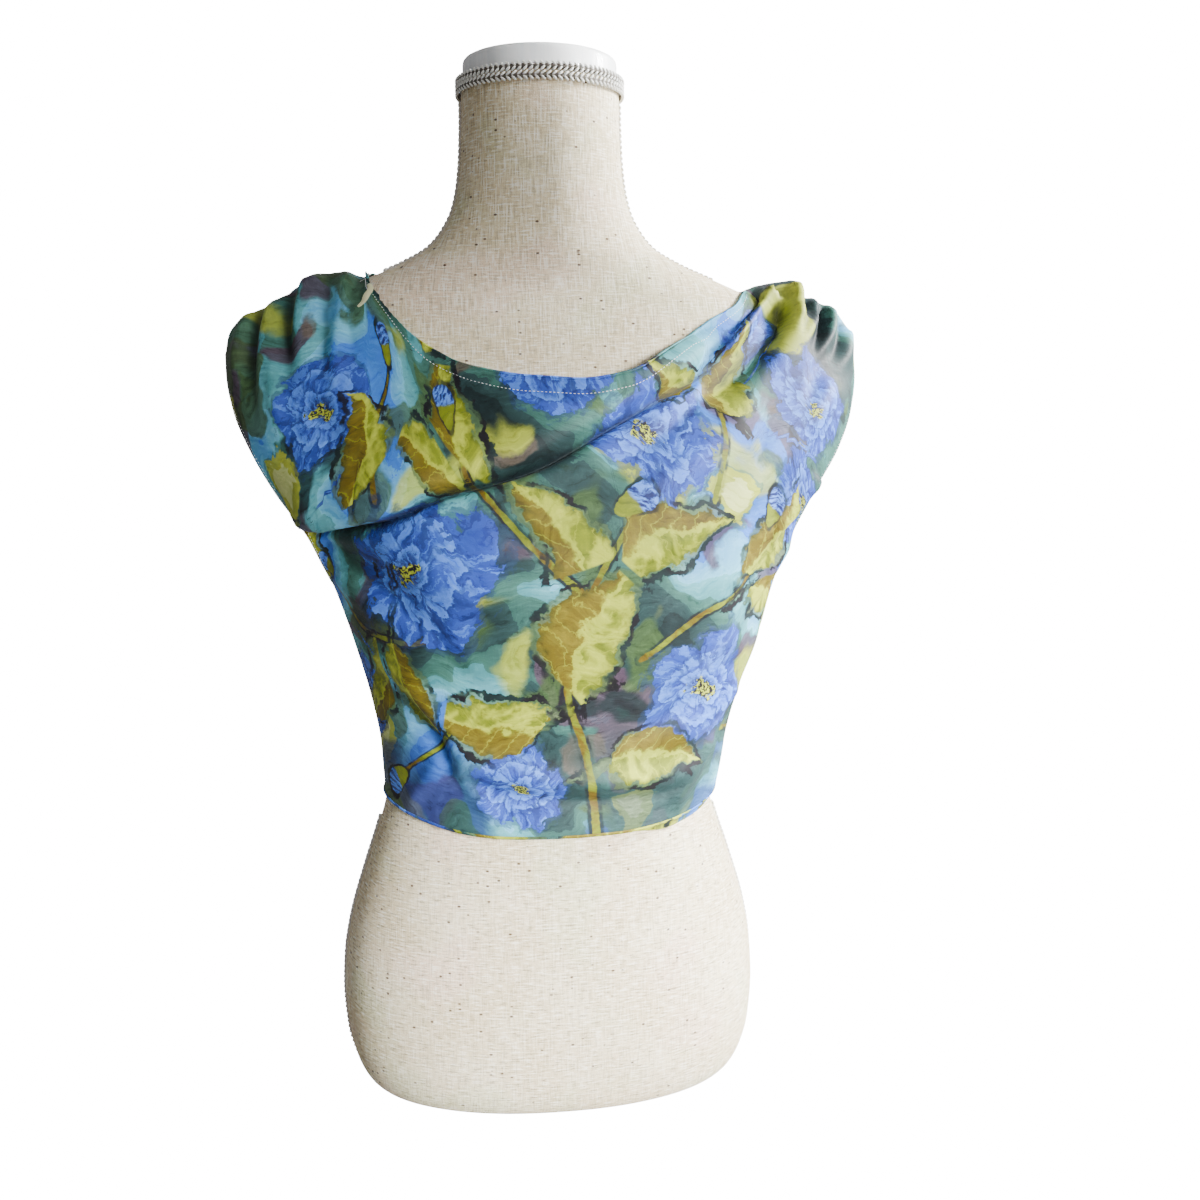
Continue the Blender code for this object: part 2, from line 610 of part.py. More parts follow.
neck_first = shoulder_cells
for word, grid, normal in (("front", front_grid, front_normal), ("back", back_grid, back_normal)):
    inside = lining_of(grid, normal)
    columns = slice(neck_first + 1, grid.shape[1] - neck_first - 1)
    sheet_solid("neck_hem_" + word, inside[-2:, columns], normal[-2:, columns], hem_wall, hem_cloth)
    edge, second = inside[0, 1:-1], inside[1, 1:-1]
    # the front's turned hem shows below the edge at the right
    below = smooth(0.22, 0.42, front_u[1:-1]) if word == "front" else np.zeros(len(edge))
    end = edge + (edge - second) * (hem_drop / waist_hem_width * below)[:, None]
    end += np.array([shortage(spot, hem_wall / 2 + seam_gap * 2) for spot in end])
    turn = edge + (second - edge) * hem_turn
    hem_grid = np.stack([end, turn, second])
    hem_normal = normal[[0, 0, 1], 1:-1]
    sheet_solid("hem_" + word, hem_grid, hem_normal, hem_wall, hem_cloth)
    last = grid.shape[1]
    for side, column, strip, start in (("left", 0, slice(0, 2), underarm_left),
                                       ("right", -1, slice(last - 2, last), underarm_right)):
        first = int(np.searchsorted(grid[:, column, 2], start)) + 1
        sheet_solid("armhole_hem_" + word + "_" + side, inside[first:-3, strip],
                    normal[first:-3, strip], hem_wall, hem_cloth)

# The ribbon end at the left neck point lies on the front panel.
tab_columns = slice(neck_first - 1, neck_first + 1)
tab_rows = slice(-4, -1)
tab_lift = wall / 2 + seam_gap + tab_wall / 2
tab_grid = front_grid[tab_rows, tab_columns] + front_normal[tab_rows, tab_columns] * tab_lift
sheet_solid("shoulder_tab", tab_grid, front_normal[tab_rows, tab_columns], tab_wall, tab_cream)

# ---------------------------------------------------------------- origin at the middle of the base

corners = [v.co for obj in bpy.context.scene.objects for v in obj.data.vertices]
middle_x = (min(c.x for c in corners) + max(c.x for c in corners)) / 2
middle_y = (min(c.y for c in corners) + max(c.y for c in corners)) / 2
for obj in bpy.context.scene.objects:
    for vertex in obj.data.vertices:
        vertex.co.x -= middle_x
        vertex.co.y -= middle_y
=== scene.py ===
# Looks of the cowl neck crop top and its dress form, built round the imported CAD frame.
import math

import bmesh
import bpy
import numpy as np
from mathutils import Euler, Matrix, Vector
from mathutils.bvhtree import BVHTree


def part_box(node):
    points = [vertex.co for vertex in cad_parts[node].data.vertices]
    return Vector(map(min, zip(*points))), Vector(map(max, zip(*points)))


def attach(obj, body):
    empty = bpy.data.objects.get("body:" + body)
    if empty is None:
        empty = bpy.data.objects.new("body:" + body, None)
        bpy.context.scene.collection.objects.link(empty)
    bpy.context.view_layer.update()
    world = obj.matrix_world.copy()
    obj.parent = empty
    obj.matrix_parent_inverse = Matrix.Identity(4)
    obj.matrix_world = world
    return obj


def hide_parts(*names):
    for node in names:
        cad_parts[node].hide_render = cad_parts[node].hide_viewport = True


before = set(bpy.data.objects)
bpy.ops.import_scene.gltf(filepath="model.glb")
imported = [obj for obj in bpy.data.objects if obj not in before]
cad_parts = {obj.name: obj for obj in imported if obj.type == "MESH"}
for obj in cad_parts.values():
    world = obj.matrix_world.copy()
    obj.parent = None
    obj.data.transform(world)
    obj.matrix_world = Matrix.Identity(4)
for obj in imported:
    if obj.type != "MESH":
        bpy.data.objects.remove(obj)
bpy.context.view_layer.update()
capLow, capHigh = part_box("neck_cap")
axisX, axisY = (capLow.x + capHigh.x) / 2, (capLow.y + capHigh.y) / 2  # the form's upright axis
middle = np.array([axisX, axisY, 0.0])
print("frame loaded")

cameraSettings = {
    "distance": 1.10,    # from the form's axis
    "height": 0.545,
    "yaw": 5.0,          # degrees to the viewer's left
    "turn": 2.27,        # aims a little to the right of the form
    "pitch": 7.22,       # looks down
    "roll": -0.40,
    "lens": 40.26,
}


def addCamera(settings):
    camera = bpy.data.objects.new("camera", bpy.data.cameras.new("camera"))
    bpy.context.scene.collection.objects.link(camera)
    yaw = math.radians(settings["yaw"])
    place = Vector((axisX - settings["distance"] * math.sin(yaw),
                    -settings["distance"] * math.cos(yaw), settings["height"]))
    heading = Euler((math.radians(90 - settings["pitch"]), 0, -yaw - math.radians(settings["turn"])))
    camera.matrix_world = (Matrix.Translation(place) @ heading.to_matrix().to_4x4()
                           @ Matrix.Rotation(math.radians(settings["roll"]), 4, "Z"))
    camera.data.lens = settings["lens"]
    camera.data.sensor_width = 36
    bpy.context.scene.camera = camera


addCamera(cameraSettings)

# Numbers and curves.


def ease(low, high, value):
    t = np.clip((value - low) / (high - low), 0.0, 1.0)
    return t * t * (3 - 2 * t)


def readTable(rows, column, at):
    # monotone cubic through one column of a table, by the heights in its first column
    xs = np.array([row[0] for row in rows])
    ys = np.array([row[column] for row in rows])
    step = np.diff(xs)
    slope = np.diff(ys) / step
    tangent = np.empty_like(ys)
    tangent[0], tangent[-1] = slope[0], slope[-1]
    same = slope[:-1] * slope[1:] > 0
    tangent[1:-1] = np.where(same, 2 * slope[:-1] * slope[1:] / np.where(same, slope[:-1] + slope[1:], 1), 0)
    at = np.clip(at, xs[0], xs[-1])
    cell = np.clip(np.searchsorted(xs, at, side="right") - 1, 0, len(step) - 1)
    h = step[cell]
    t = (at - xs[cell]) / h
    return (ys[cell] * (1 + 2 * t) * (1 - t) ** 2 + ys[cell + 1] * t * t * (3 - 2 * t)
            + tangent[cell] * h * t * (1 - t) ** 2 - tangent[cell + 1] * h * t * t * (1 - t))


def smoothLine(points, count):
    # even steps along a smooth curve through the points
    points = np.array(points, float)
    padded = np.vstack([2 * points[0] - points[1], points, 2 * points[-1] - points[-2]])
    t = np.linspace(0, len(points) - 1, count)
    k = np.clip(t.astype(int), 0, len(points) - 2)
    f = (t - k)[:, None]
    a, b, c, d = (padded[k + n] for n in range(4))
    return 0.5 * (2 * b + (c - a) * f + (2 * a - 5 * b + 4 * c - d) * f ** 2
                  + (3 * b - a - 3 * c + d) * f ** 3)


def besideLine(x, z, line):
    # distance to a line, + on its right-hand side, the plain distance, and the share of its length
    best = np.full(x.shape, 1e9)
    side = np.ones(x.shape)
    place = np.zeros(x.shape)
    for k in range(len(line) - 1):
        ax, az = line[k]
        dx, dz = line[k + 1] - line[k]
        part = np.clip(((x - ax) * dx + (z - az) * dz) / (dx * dx + dz * dz + 1e-12), 0, 1)
        offX, offZ = x - ax - part * dx, z - az - part * dz
        gap = np.hypot(offX, offZ)
        nearer = gap < best
        best = np.where(nearer, gap, best)
        side = np.where(nearer, np.sign(offX * dz - offZ * dx), side)
        place = np.where(nearer, (k + part) / (len(line) - 1), place)
    return best * side, best, place


def unit(vectors):
    return vectors / np.maximum(np.linalg.norm(vectors, axis=-1, keepdims=True), 1e-12)


def gridNormals(spots):
    return unit(np.cross(np.gradient(spots, axis=1), np.gradient(spots, axis=0)))


def lengthAlong(spots, axis):
    steps = np.linalg.norm(np.diff(spots, axis=axis), axis=-1)
    start = np.zeros_like(np.take(steps, [0], axis=axis))
    return np.concatenate([start, np.cumsum(steps, axis=axis)], axis=axis)


# Meshes and pieces.


def sheetMesh(name, spots, flat, layers=None, inward=False, welded=False):
    # a grid of quads set on the given places, with its flat cut as the UV map
    rows, columns = spots.shape[:2]
    shape = bmesh.new()
    bmesh.ops.create_grid(shape, x_segments=columns - 1, y_segments=rows - 1, size=0.5)
    uvLayer = shape.loops.layers.uv.new("flat")
    vectorLayers = {key: shape.verts.layers.float_vector.new(key) for key in (layers or {})}
    where = {}
    for vert in shape.verts:
        j, i = round((vert.co.y + 0.5) * (rows - 1)), round((vert.co.x + 0.5) * (columns - 1))
        where[vert] = (j, i)
        vert.co = spots[j, i]
        for key, layer in vectorLayers.items():
            vert[layer] = layers[key][j, i]
    for face in shape.faces:
        face.smooth = True
        for loop in face.loops:
            loop[uvLayer].uv = flat[where[loop.vert]]
    if inward:
        bmesh.ops.reverse_faces(shape, faces=shape.faces)
    if welded:
        bmesh.ops.remove_doubles(shape, verts=shape.verts, dist=1e-6)
    mesh = bpy.data.meshes.new(name)
    shape.to_mesh(mesh)
    shape.free()
    return mesh


def addPiece(name, mesh, materials, nodes=()):
    piece = bpy.data.objects.new(name, mesh)
    bpy.context.scene.collection.objects.link(piece)
    for material in materials:
        mesh.materials.append(material)
    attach(piece, "root")
    if nodes:
        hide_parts(*nodes)
    return piece


def cordMesh(name, paths, radius, closed):
    # round cords along several paths, made as a curve and kept as a mesh
    curve = bpy.data.curves.new(name, "CURVE")
    curve.dimensions = "3D"
    curve.bevel_depth = radius
    curve.bevel_resolution = 2
    curve.use_fill_caps = True
    for path in paths:
        spline = curve.splines.new("POLY")
        spline.points.add(len(path) - 1)
        for point, spot in zip(spline.points, path):
            point.co = (*spot, 1.0)
        spline.use_cyclic_u = closed
    holder = bpy.data.objects.new(name, curve)
    bpy.context.scene.collection.objects.link(holder)
    mesh = bpy.data.meshes.new_from_object(holder.evaluated_get(bpy.context.evaluated_depsgraph_get()))
    bpy.data.objects.remove(holder)
    mesh.shade_smooth()
    return mesh


# Shader nodes.


class Wires:
    # adds and joins shader nodes in one tree
    def __init__(self, tree):
        self.tree = tree

    def add(self, kind, inputs=None, **settings):
        node = self.tree.nodes.new("ShaderNode" + kind)
        for key, value in settings.items():
            setattr(node, key, value)
        for key, value in (inputs or {}).items():
            self.feed(node.inputs[key], value)
        return node

    def feed(self, socket, value):
        if isinstance(value, bpy.types.NodeSocket):
            self.tree.links.new(value, socket)
        elif value is not None:
            socket.default_value = value

    def maths(self, operation, a, b=None, c=None):
        return self.add("Math", {0: a, 1: b, 2: c}, operation=operation).outputs[0]

    def vector(self, operation, a, b=None, scale=None):
        node = self.add("VectorMath", {0: a, 1: b}, operation=operation)
        if scale is not None:
            self.feed(node.inputs["Scale"], scale)
        return node.outputs["Value" if operation == "LENGTH" else "Vector"]

    def noise(self, at, scale, detail=2.0, rough=0.5, colour=False):
        node = self.add("TexNoise", {"Vector": at, "Scale": scale, "Detail": detail, "Roughness": rough})
        return node.outputs[1 if colour else 0]

    def ease(self, value, low, high, fromValue=0.0, toValue=1.0):
        ends = {"From Min": low, "From Max": high, "To Min": fromValue, "To Max": toValue}
        return self.add("MapRange", {"Value": value, **ends}, interpolation_type="SMOOTHSTEP").outputs[0]

    def mix(self, factor, a, b, blend="MIX"):
        return self.add("Mix", {0: factor, 6: a, 7: b}, data_type="RGBA", blend_type=blend).outputs[2]

    def ramp(self, value, stops):
        node = self.add("ValToRGB", {0: value})
        elements = node.color_ramp.elements
        while len(elements) < len(stops):
            elements.new(0.5)
        for element, (at, colour) in zip(elements, stops):
            element.position = at
            element.color = colour
        return node.outputs[0]

    def apart(self, vector):
        return self.add("SeparateXYZ", {0: vector}).outputs[:3]

    def group(self, tree, inputs):
        node = self.add("Group", node_tree=tree)
        for key, value in inputs.items():
            self.feed(node.inputs[key], value)
        return node.outputs


def newGroup(name, inputs, outputs):
    tree = bpy.data.node_groups.new(name, "ShaderNodeTree")
    for label, kind in inputs.items():
        tree.interface.new_socket(name=label, in_out="INPUT", socket_type="NodeSocket" + kind)
    for label, kind in outputs.items():
        tree.interface.new_socket(name=label, in_out="OUTPUT", socket_type="NodeSocket" + kind)
    wires = Wires(tree)
    source = tree.nodes.new("NodeGroupInput")
    target = tree.nodes.new("NodeGroupOutput")
    return tree, wires, source.outputs, target.inputs


def newMaterial(name, roughness, **values):
    material = bpy.data.materials.new(name)
    material.use_nodes = True
    shader = material.node_tree.nodes["Principled BSDF"]
    shader.inputs["Roughness"].default_value = roughness
    for label, value in values.items():
        shader.inputs[label.replace("_", " ")].default_value = value
    return material, Wires(material.node_tree), shader.inputs


def paint(red, green, blue):
    # a paint's sRGB numbers as the linear colour that nodes take
    return tuple(((c / 255 + 0.055) / 1.055) ** 2.4 if c > 10 else c / 3294 for c in (red, green, blue)) + (1.0,)


# The woven thread effect, shared by the linen and the printed cloth.

weaveGroup, w, source, target = newGroup(
    "weave", {"Flat": "Vector", "Pitch": "Float", "Slub": "Float"}, {"Height": "Float", "Thread": "Float"})
perMetre = w.maths("DIVIDE", 6.2832, source["Pitch"])
wander = w.vector("SCALE", w.vector("SUBTRACT", w.noise(source["Flat"], 60.0, 2.0, colour=True), (0.5,) * 3),
                  scale=w.maths("MULTIPLY", source["Slub"], source["Pitch"]))
acrossThread, upThread, _ = w.apart(w.vector("ADD", source["Flat"], wander))
warp = w.maths("SINE", w.maths("MULTIPLY", acrossThread, perMetre))
weft = w.maths("SINE", w.maths("MULTIPLY", upThread, perMetre))
over = w.maths("MULTIPLY", warp, weft)
w.feed(target["Height"], w.maths("MULTIPLY_ADD", over, 0.5, 0.5))
threads = w.noise(w.vector("MULTIPLY", source["Flat"], (900.0, 60.0, 1.0)), 1.0, 1.0)
crossThreads = w.noise(w.vector("MULTIPLY", source["Flat"], (60.0, 900.0, 1.0)), 1.0, 1.0)
w.feed(target["Thread"], w.maths("MULTIPLY", w.maths("ADD", threads, crossThreads), 0.5))

# The dress form.

formSettings = {
    "around": 200,          # faces round the body
    "rise": 0.0045,         # height of each row of faces
}
# height, half width, depth to the front and back, squareness
formRows = [
    (0.000, 0.144, 0.090, 0.087, 2.2), (0.004, 0.153, 0.098, 0.095, 2.2), (0.012, 0.160, 0.105, 0.102, 2.2),
    (0.025, 0.166, 0.110, 0.109, 2.2), (0.045, 0.171, 0.114, 0.115, 2.2), (0.080, 0.1735, 0.116, 0.120, 2.2),
    (0.110, 0.172, 0.114, 0.121, 2.2), (0.140, 0.167, 0.110, 0.118, 2.2), (0.188, 0.153, 0.102, 0.109, 2.2),
    (0.215, 0.144, 0.097, 0.101, 2.1), (0.241, 0.1365, 0.093, 0.095, 2.1), (0.275, 0.1315, 0.091, 0.090, 2.1),
    (0.300, 0.133, 0.094, 0.089, 2.1), (0.340, 0.140, 0.104, 0.090, 2.1), (0.380, 0.150, 0.115, 0.094, 2.1),
    (0.420, 0.159, 0.123, 0.100, 2.1), (0.460, 0.169, 0.124, 0.106, 2.1), (0.500, 0.181, 0.117, 0.110, 2.1),
    (0.540, 0.193, 0.108, 0.112, 2.1), (0.570, 0.200, 0.100, 0.111, 2.1), (0.600, 0.205, 0.090, 0.107, 2.1),
    (0.620, 0.203, 0.083, 0.101, 2.1), (0.633, 0.197, 0.078, 0.095, 2.1), (0.645, 0.184, 0.073, 0.088, 2.1),
    (0.655, 0.164, 0.069, 0.083, 2.1), (0.666, 0.139, 0.066, 0.079, 2.0), (0.677, 0.1130, 0.064, 0.075, 2.0),
    (0.690, 0.0905, 0.062, 0.071, 2.0), (0.704, 0.0785, 0.060, 0.068, 2.0), (0.720, 0.0705, 0.059, 0.065, 2.0),
    (0.740, 0.0660, 0.0585, 0.063, 2.0), (0.766, 0.0636, 0.0585, 0.062, 2.0), (0.794, 0.0628, 0.0590, 0.061, 2.0),
    (0.816, 0.0628, 0.0590, 0.061, 2.0), (0.819, 0.0612, 0.0575, 0.0595, 2.0),
]
# soft mounds on the form's front: x, z, spread in x and z, height
bustMounds = [(-0.075, 0.445, 0.042, 0.046, 0.013), (0.075, 0.445, 0.042, 0.046, 0.013)]


def formSpots(z, angle):
    # places on the form's skin, in the row frame
    half, front, back, square = (readTable(formRows, k, z) for k in (1, 2, 3, 4))
    c, s = np.cos(angle), np.sin(angle)
    x = half * np.sign(c) * np.abs(c) ** (2 / square)
    y = np.where(s > 0, back, front) * np.sign(s) * np.abs(s) ** (2 / square)
    for mx, mz, spreadX, spreadZ, height in bustMounds:
        apart = ((x - mx) / spreadX) ** 2 + ((z - mz) / spreadZ) ** 2
        y = y - height * np.exp(-apart / 2) * np.clip(-2 * s, 0, 1)
    return np.stack([x, y, z + 0 * x], axis=-1) + middle


linen, w, shader = newMaterial("linenCover", 0.88, Sheen_Weight=0.05, Specular_IOR_Level=0.25)
flat = w.add("UVMap", uv_map="flat").outputs[0]
weave = w.group(weaveGroup, {"Flat": flat, "Pitch": 0.0011, "Slub": 1.2})
longSlub = w.noise(w.vector("MULTIPLY", flat, (95.0, 760.0, 1.0)), 1.0, 3.0, 0.7)
tallSlub = w.noise(w.vector("MULTIPLY", flat, (800.0, 55.0, 1.0)), 1.0, 3.0, 0.7)
cloudy = w.noise(flat, 14.0, 3.0)
base = w.mix(w.ease(cloudy, 0.35, 0.68), paint(222, 204, 164), paint(236, 222, 186))
tints = w.noise(w.vector("ADD", flat, (2.3, 5.1, 0.0)), 11.0, 2.0)
base = w.mix(w.ease(tints, 0.52, 0.68, 0.0, 0.5), base, paint(240, 208, 186))
base = w.mix(w.ease(tints, 0.46, 0.32, 0.0, 0.5), base, paint(214, 218, 172))
grain = w.noise(flat, 1500.0, 1.0)
base = w.mix(w.ease(grain, 0.45, 0.70, 0.0, 0.35), base, paint(130, 114, 88))
upNeck = w.ease(w.apart(flat)[1], 0.56, 0.66)
base = w.mix(w.ease(longSlub, 0.52, 0.68, 0.0, 0.70), base, w.mix(upNeck, paint(112, 96, 72), paint(176, 160, 130)))
base = w.mix(w.ease(longSlub, 0.48, 0.36, 0.0, 0.80), base, paint(255, 250, 236))
base = w.mix(w.maths("MULTIPLY", w.ease(tallSlub, 0.51, 0.64), w.maths("MULTIPLY_ADD", upNeck, 0.15, 0.35)),
             base, paint(156, 142, 116))
base = w.mix(w.maths("MULTIPLY", w.ease(tallSlub, 0.48, 0.36), w.maths("MULTIPLY_ADD", upNeck, 0.35, 0.30)),
             base, paint(255, 250, 236))
flecks = w.add("TexVoronoi", {"Vector": w.vector("MULTIPLY", flat, (125.0, 200.0, 1.0)), "Scale": 1.0})
fleckMask = w.maths("MULTIPLY", w.ease(flecks.outputs["Distance"], 0.22, 0.12),
                    w.ease(w.apart(flecks.outputs["Color"])[0], 0.78, 0.84))
base = w.mix(w.maths("MULTIPLY", fleckMask, 0.9), base, paint(74, 50, 34))
w.feed(shader["Base Color"], base)
relief = w.maths("ADD", w.maths("MULTIPLY", weave["Height"], 0.5),
                 w.maths("ADD", w.maths("MULTIPLY", longSlub, 0.8), w.maths("MULTIPLY", tallSlub, 0.8)))
w.feed(shader["Normal"], w.add("Bump", {"Strength": 0.55, "Distance": 0.0006, "Height": relief}).outputs[0])


def buildForm(settings):
    columns = settings["around"] + 1
    heights = np.arange(0.0, formRows[-1][0], settings["rise"])
    heights = np.unique(np.concatenate([heights, [0.002, 0.006, 0.8175, formRows[-1][0]]]))
    angle = math.pi / 2 + np.linspace(0, 2 * math.pi, columns)  # from the middle of the back round
    spots = formSpots(np.repeat(heights[:, None], columns, axis=1), np.repeat(angle[None, :], len(heights), axis=0))
    across = lengthAlong(spots, 1)
    across = across - across[:, columns // 2:columns // 2 + 1]
    flat = np.stack([across, lengthAlong(spots, 0)[:, columns // 2:columns // 2 + 1] + 0 * across], axis=-1)
    mesh = sheetMesh("formBody", spots, flat, welded=True)
    shape = bmesh.new()
    shape.from_mesh(mesh)
    bmesh.ops.holes_fill(shape, edges=[edge for edge in shape.edges if edge.is_boundary], sides=0)
    ends = [face for face in shape.faces if len(face.verts) > 4]
    bmesh.ops.poke(shape, faces=ends)
    shape.to_mesh(mesh)
    tree = BVHTree.FromBMesh(shape)
    shape.free()
    addPiece("formBody", mesh, [linen], ["form_body"])
    return tree


formTree = buildForm(formSettings)
print("form built")

# The cap on the neck.

capSettings = {"radius": 0.0618, "height": 0.0170, "depth": 0.955, "steps": 128}
capProfile = [(0.0, 0.0), (0.990, 0.0), (0.992, 0.06), (0.990, 0.66), (0.984, 0.80), (0.966, 0.89),
              (0.93, 0.955), (0.86, 0.99), (0.75, 1.0), (0.0, 1.0)]  # share of the radius, share of the height

capWhite, w, shader = newMaterial("capWhite", 0.42, Coat_Weight=0.12)
place = w.add("TexCoord").outputs["Object"]
streaks = w.noise(w.vector("MULTIPLY", place, (260.0, 260.0, 8.0)), 1.0, 2.0)
w.feed(shader["Base Color"], w.mix(w.ease(streaks, 0.35, 0.7), paint(252, 253, 253), paint(240, 243, 245)))
w.feed(shader["Roughness"], w.ease(streaks, 0.2, 0.8, 0.36, 0.52))
w.feed(shader["Normal"], w.add("Bump", {"Strength": 0.12, "Distance": 0.0004, "Height": streaks}).outputs[0])


def buildCap(settings):
    shape = bmesh.new()
    verts = [shape.verts.new((settings["radius"] * out, 0.0, capLow.z + settings["height"] * up))
             for out, up in capProfile]
    edges = [shape.edges.new(pair) for pair in zip(verts, verts[1:])]
    bmesh.ops.spin(shape, geom=verts + edges, axis=(0, 0, 1), cent=(0, 0, 0), angle=2 * math.pi,
                   steps=settings["steps"], use_merge=True)
    bmesh.ops.remove_doubles(shape, verts=shape.verts, dist=1e-6)
    bmesh.ops.recalc_face_normals(shape, faces=shape.faces)
    bmesh.ops.scale(shape, vec=(1, settings["depth"], 1), verts=shape.verts)
    bmesh.ops.translate(shape, vec=(axisX, axisY, 0), verts=shape.verts)
    for face in shape.faces:
        face.smooth = True
    mesh = bpy.data.meshes.new("neckCap")
    shape.to_mesh(mesh)
    shape.free()
    addPiece("neckCap", mesh, [capWhite], ["neck_cap"])


buildCap(capSettings)

# Small beads of thread, for braid and stitches.


def beadMesh(name, beads, sides=8):
    # one mesh of many small ovals; each bead is its middle, run, outward direction and half sizes
    whole = bmesh.new()
    for start in range(0, len(beads), 40):  # in small lots, which is quicker
        shape = bmesh.new()
        for spot, run, outward, sizes in beads[start:start + 40]:
            forward = Vector(run).normalized()
            aside = Vector(outward).cross(forward).normalized()
            turn = Matrix((forward, aside, forward.cross(aside))).transposed().to_4x4()
            bmesh.ops.create_uvsphere(shape, u_segments=sides, v_segments=sides // 2 + 1, radius=1.0,
                                      matrix=Matrix.Translation(spot) @ turn @ Matrix.Diagonal((*sizes, 1.0)))
        lot = bpy.data.meshes.new(name)
        shape.to_mesh(lot)
        shape.free()
        whole.from_mesh(lot)
        bpy.data.meshes.remove(lot)
    mesh = bpy.data.meshes.new(name)
    whole.to_mesh(mesh)
    whole.free()
    mesh.shade_smooth()
    return mesh


# Braid: loops that slant to each side of a cord.

braidSettings = {
    "neckRows": [("neckBraidLower", "neck_braid_lower", 0.8100, 1), ("neckBraidUpper", "neck_braid_upper", 0.8168, -1)],
    "neckStandOff": 0.0030,     # middle of the braid to the neck
    "pitch": 0.0044,            # from one loop to the next
    "loop": (0.0029, 0.00100, 0.00125),   # half sizes: along, across, out
    "slant": 42.0,              # degrees
    "spread": 0.00165,          # loops to the middle line
    "core": 0.0013,             # radius of the cord under the loops
    "sideLoop": (0.0025, 0.0009, 0.0009),
    "hipEnds": (0.009, 0.228),
    "neckEnds": {-1: (0.671, 0.8050), 1: (0.6655, 0.8050)},
}

braidWhite, w, shader = newMaterial("braidWhite", 0.55, Sheen_Weight=0.3)
place = w.add("TexCoord").outputs["Object"]
fibre = w.noise(place, 1800.0, 2.0)
w.feed(shader["Base Color"], w.mix(w.ease(fibre, 0.3, 0.7), paint(216, 215, 206), paint(248, 247, 242)))
w.feed(shader["Normal"], w.add("Bump", {"Strength": 0.35, "Distance": 0.0002, "Height": fibre}).outputs[0])
# painted shade: the dark cord under the neck braid's loops stands in for the shade in the gaps between them
braidGapShade, w, shader = newMaterial("braidGapShade", 0.8)
place = w.add("TexCoord").outputs["Object"]
w.feed(shader["Base Color"], w.mix(w.noise(place, 900.0), paint(58, 54, 46), paint(104, 98, 86)))


def braidLoops(path, outward, sideways, closed, loop, turn=1):
    size = braidSettings
    ends = np.vstack([path, path[:1]]) if closed else path
    run = np.concatenate([[0.0], np.cumsum(np.linalg.norm(np.diff(ends, axis=0), axis=1))])
    count = round(run[-1] / size["pitch"])
    slant = math.radians(size["slant"])
    beads = []
    for k in range(count):
        at = (k + 0.5) / count * run[-1]
        spot, out, aside = (np.array([np.interp(at, run, np.append(table[:, c], table[0, c])[:len(run)])
                                      for c in range(3)]) for table in (path, outward, sideways))
        forward = np.cross(aside, out) * turn
        for side in (-1, 1):
            beads.append((spot + aside * side * size["spread"] + out * 0.0004,
                          forward * math.cos(slant) + aside * side * math.sin(slant), out, loop))
    return beads


def buildBraids(settings):
    for name, node, height, turn in settings["neckRows"]:
        angle = np.linspace(0, 2 * math.pi, 360, endpoint=False)
        skin = formSpots(np.full(angle.shape, 0.800), angle)
        outward = np.stack([np.cos(angle), np.sin(angle), 0 * angle], axis=-1)
        path = skin + outward * settings["neckStandOff"]
        path[:, 2] = height
        sideways = np.tile([0.0, 0.0, 1.0], (len(angle), 1))
        mesh = beadMesh(name, braidLoops(path, outward, sideways, True, settings["loop"], turn))
        addPiece(name, mesh, [braidWhite], [node])
        # the cord of painted shade under the loops
        addPiece(name + "Core", cordMesh(name, [path - outward * 0.0007], settings["core"] * 1.5, True), [braidGapShade])
    for side, word in ((-1, "Left"), (1, "Right")):
        for name, node, ends in (("sideBraid", "side_braid_", settings["hipEnds"]),
                                 ("neckSideBraid", "neck_side_braid_", settings["neckEnds"][side])):
            heights = np.arange(ends[0], ends[1], 0.002)
            skin = formSpots(heights, np.full(heights.shape, 0.0 if side > 0 else math.pi))
            run = unit(np.gradient(skin, axis=0))
            outward = np.stack([run[:, 2], 0 * heights, -run[:, 0]], axis=-1) * side
            outward *= np.sign(outward[:, :1]) * side
            sideways = np.tile([0.0, 1.0, 0.0], (len(heights), 1))
            path = skin + outward * 0.0012
            mesh = beadMesh(name + word, braidLoops(path, outward, sideways, False, settings["sideLoop"]), 6)
            addPiece(name + word, mesh, [braidWhite], [node + word.lower()])
            addPiece(name + word + "Core", cordMesh(name, [path - outward * 0.0006], settings["core"], False),
                     [braidWhite])


buildBraids(braidSettings)
print("cap and braid built")

# The paint on the printed cloth.

# Motifs stand on the flat cloth, in metres from the middle of the front's waist hem. The back is cut
# from the same length, backShift further along.
backShift = 0.80
# x, y, radius, turn in degrees
blooms = [
    (-0.116, 0.222, 0.074, 20), (0.118, 0.112, 0.060, 75), (0.092, 0.330, 0.062, -30), (-0.030, 0.040, 0.034, 10),
    (-0.232, 0.352, 0.044, 50), (0.232, 0.262, 0.042, 95), (-0.205, 0.080, 0.040, -15), (0.012, 0.392, 0.040, 130),
    (0.200, 0.420, 0.036, 15), (0.262, 0.346, 0.046, 60), (0.690, 0.250, 0.062, 40), (0.905, 0.150, 0.064, -20),
    (0.850, 0.345, 0.050, 80), (0.720, 0.060, 0.042, 0), (0.600, 0.380, 0.044, 25), (1.010, 0.330, 0.046, 60),
    (0.560, 0.140, 0.044, -40), (1.040, 0.090, 0.040, 10), (0.735, 0.420, 0.036, -10),
]
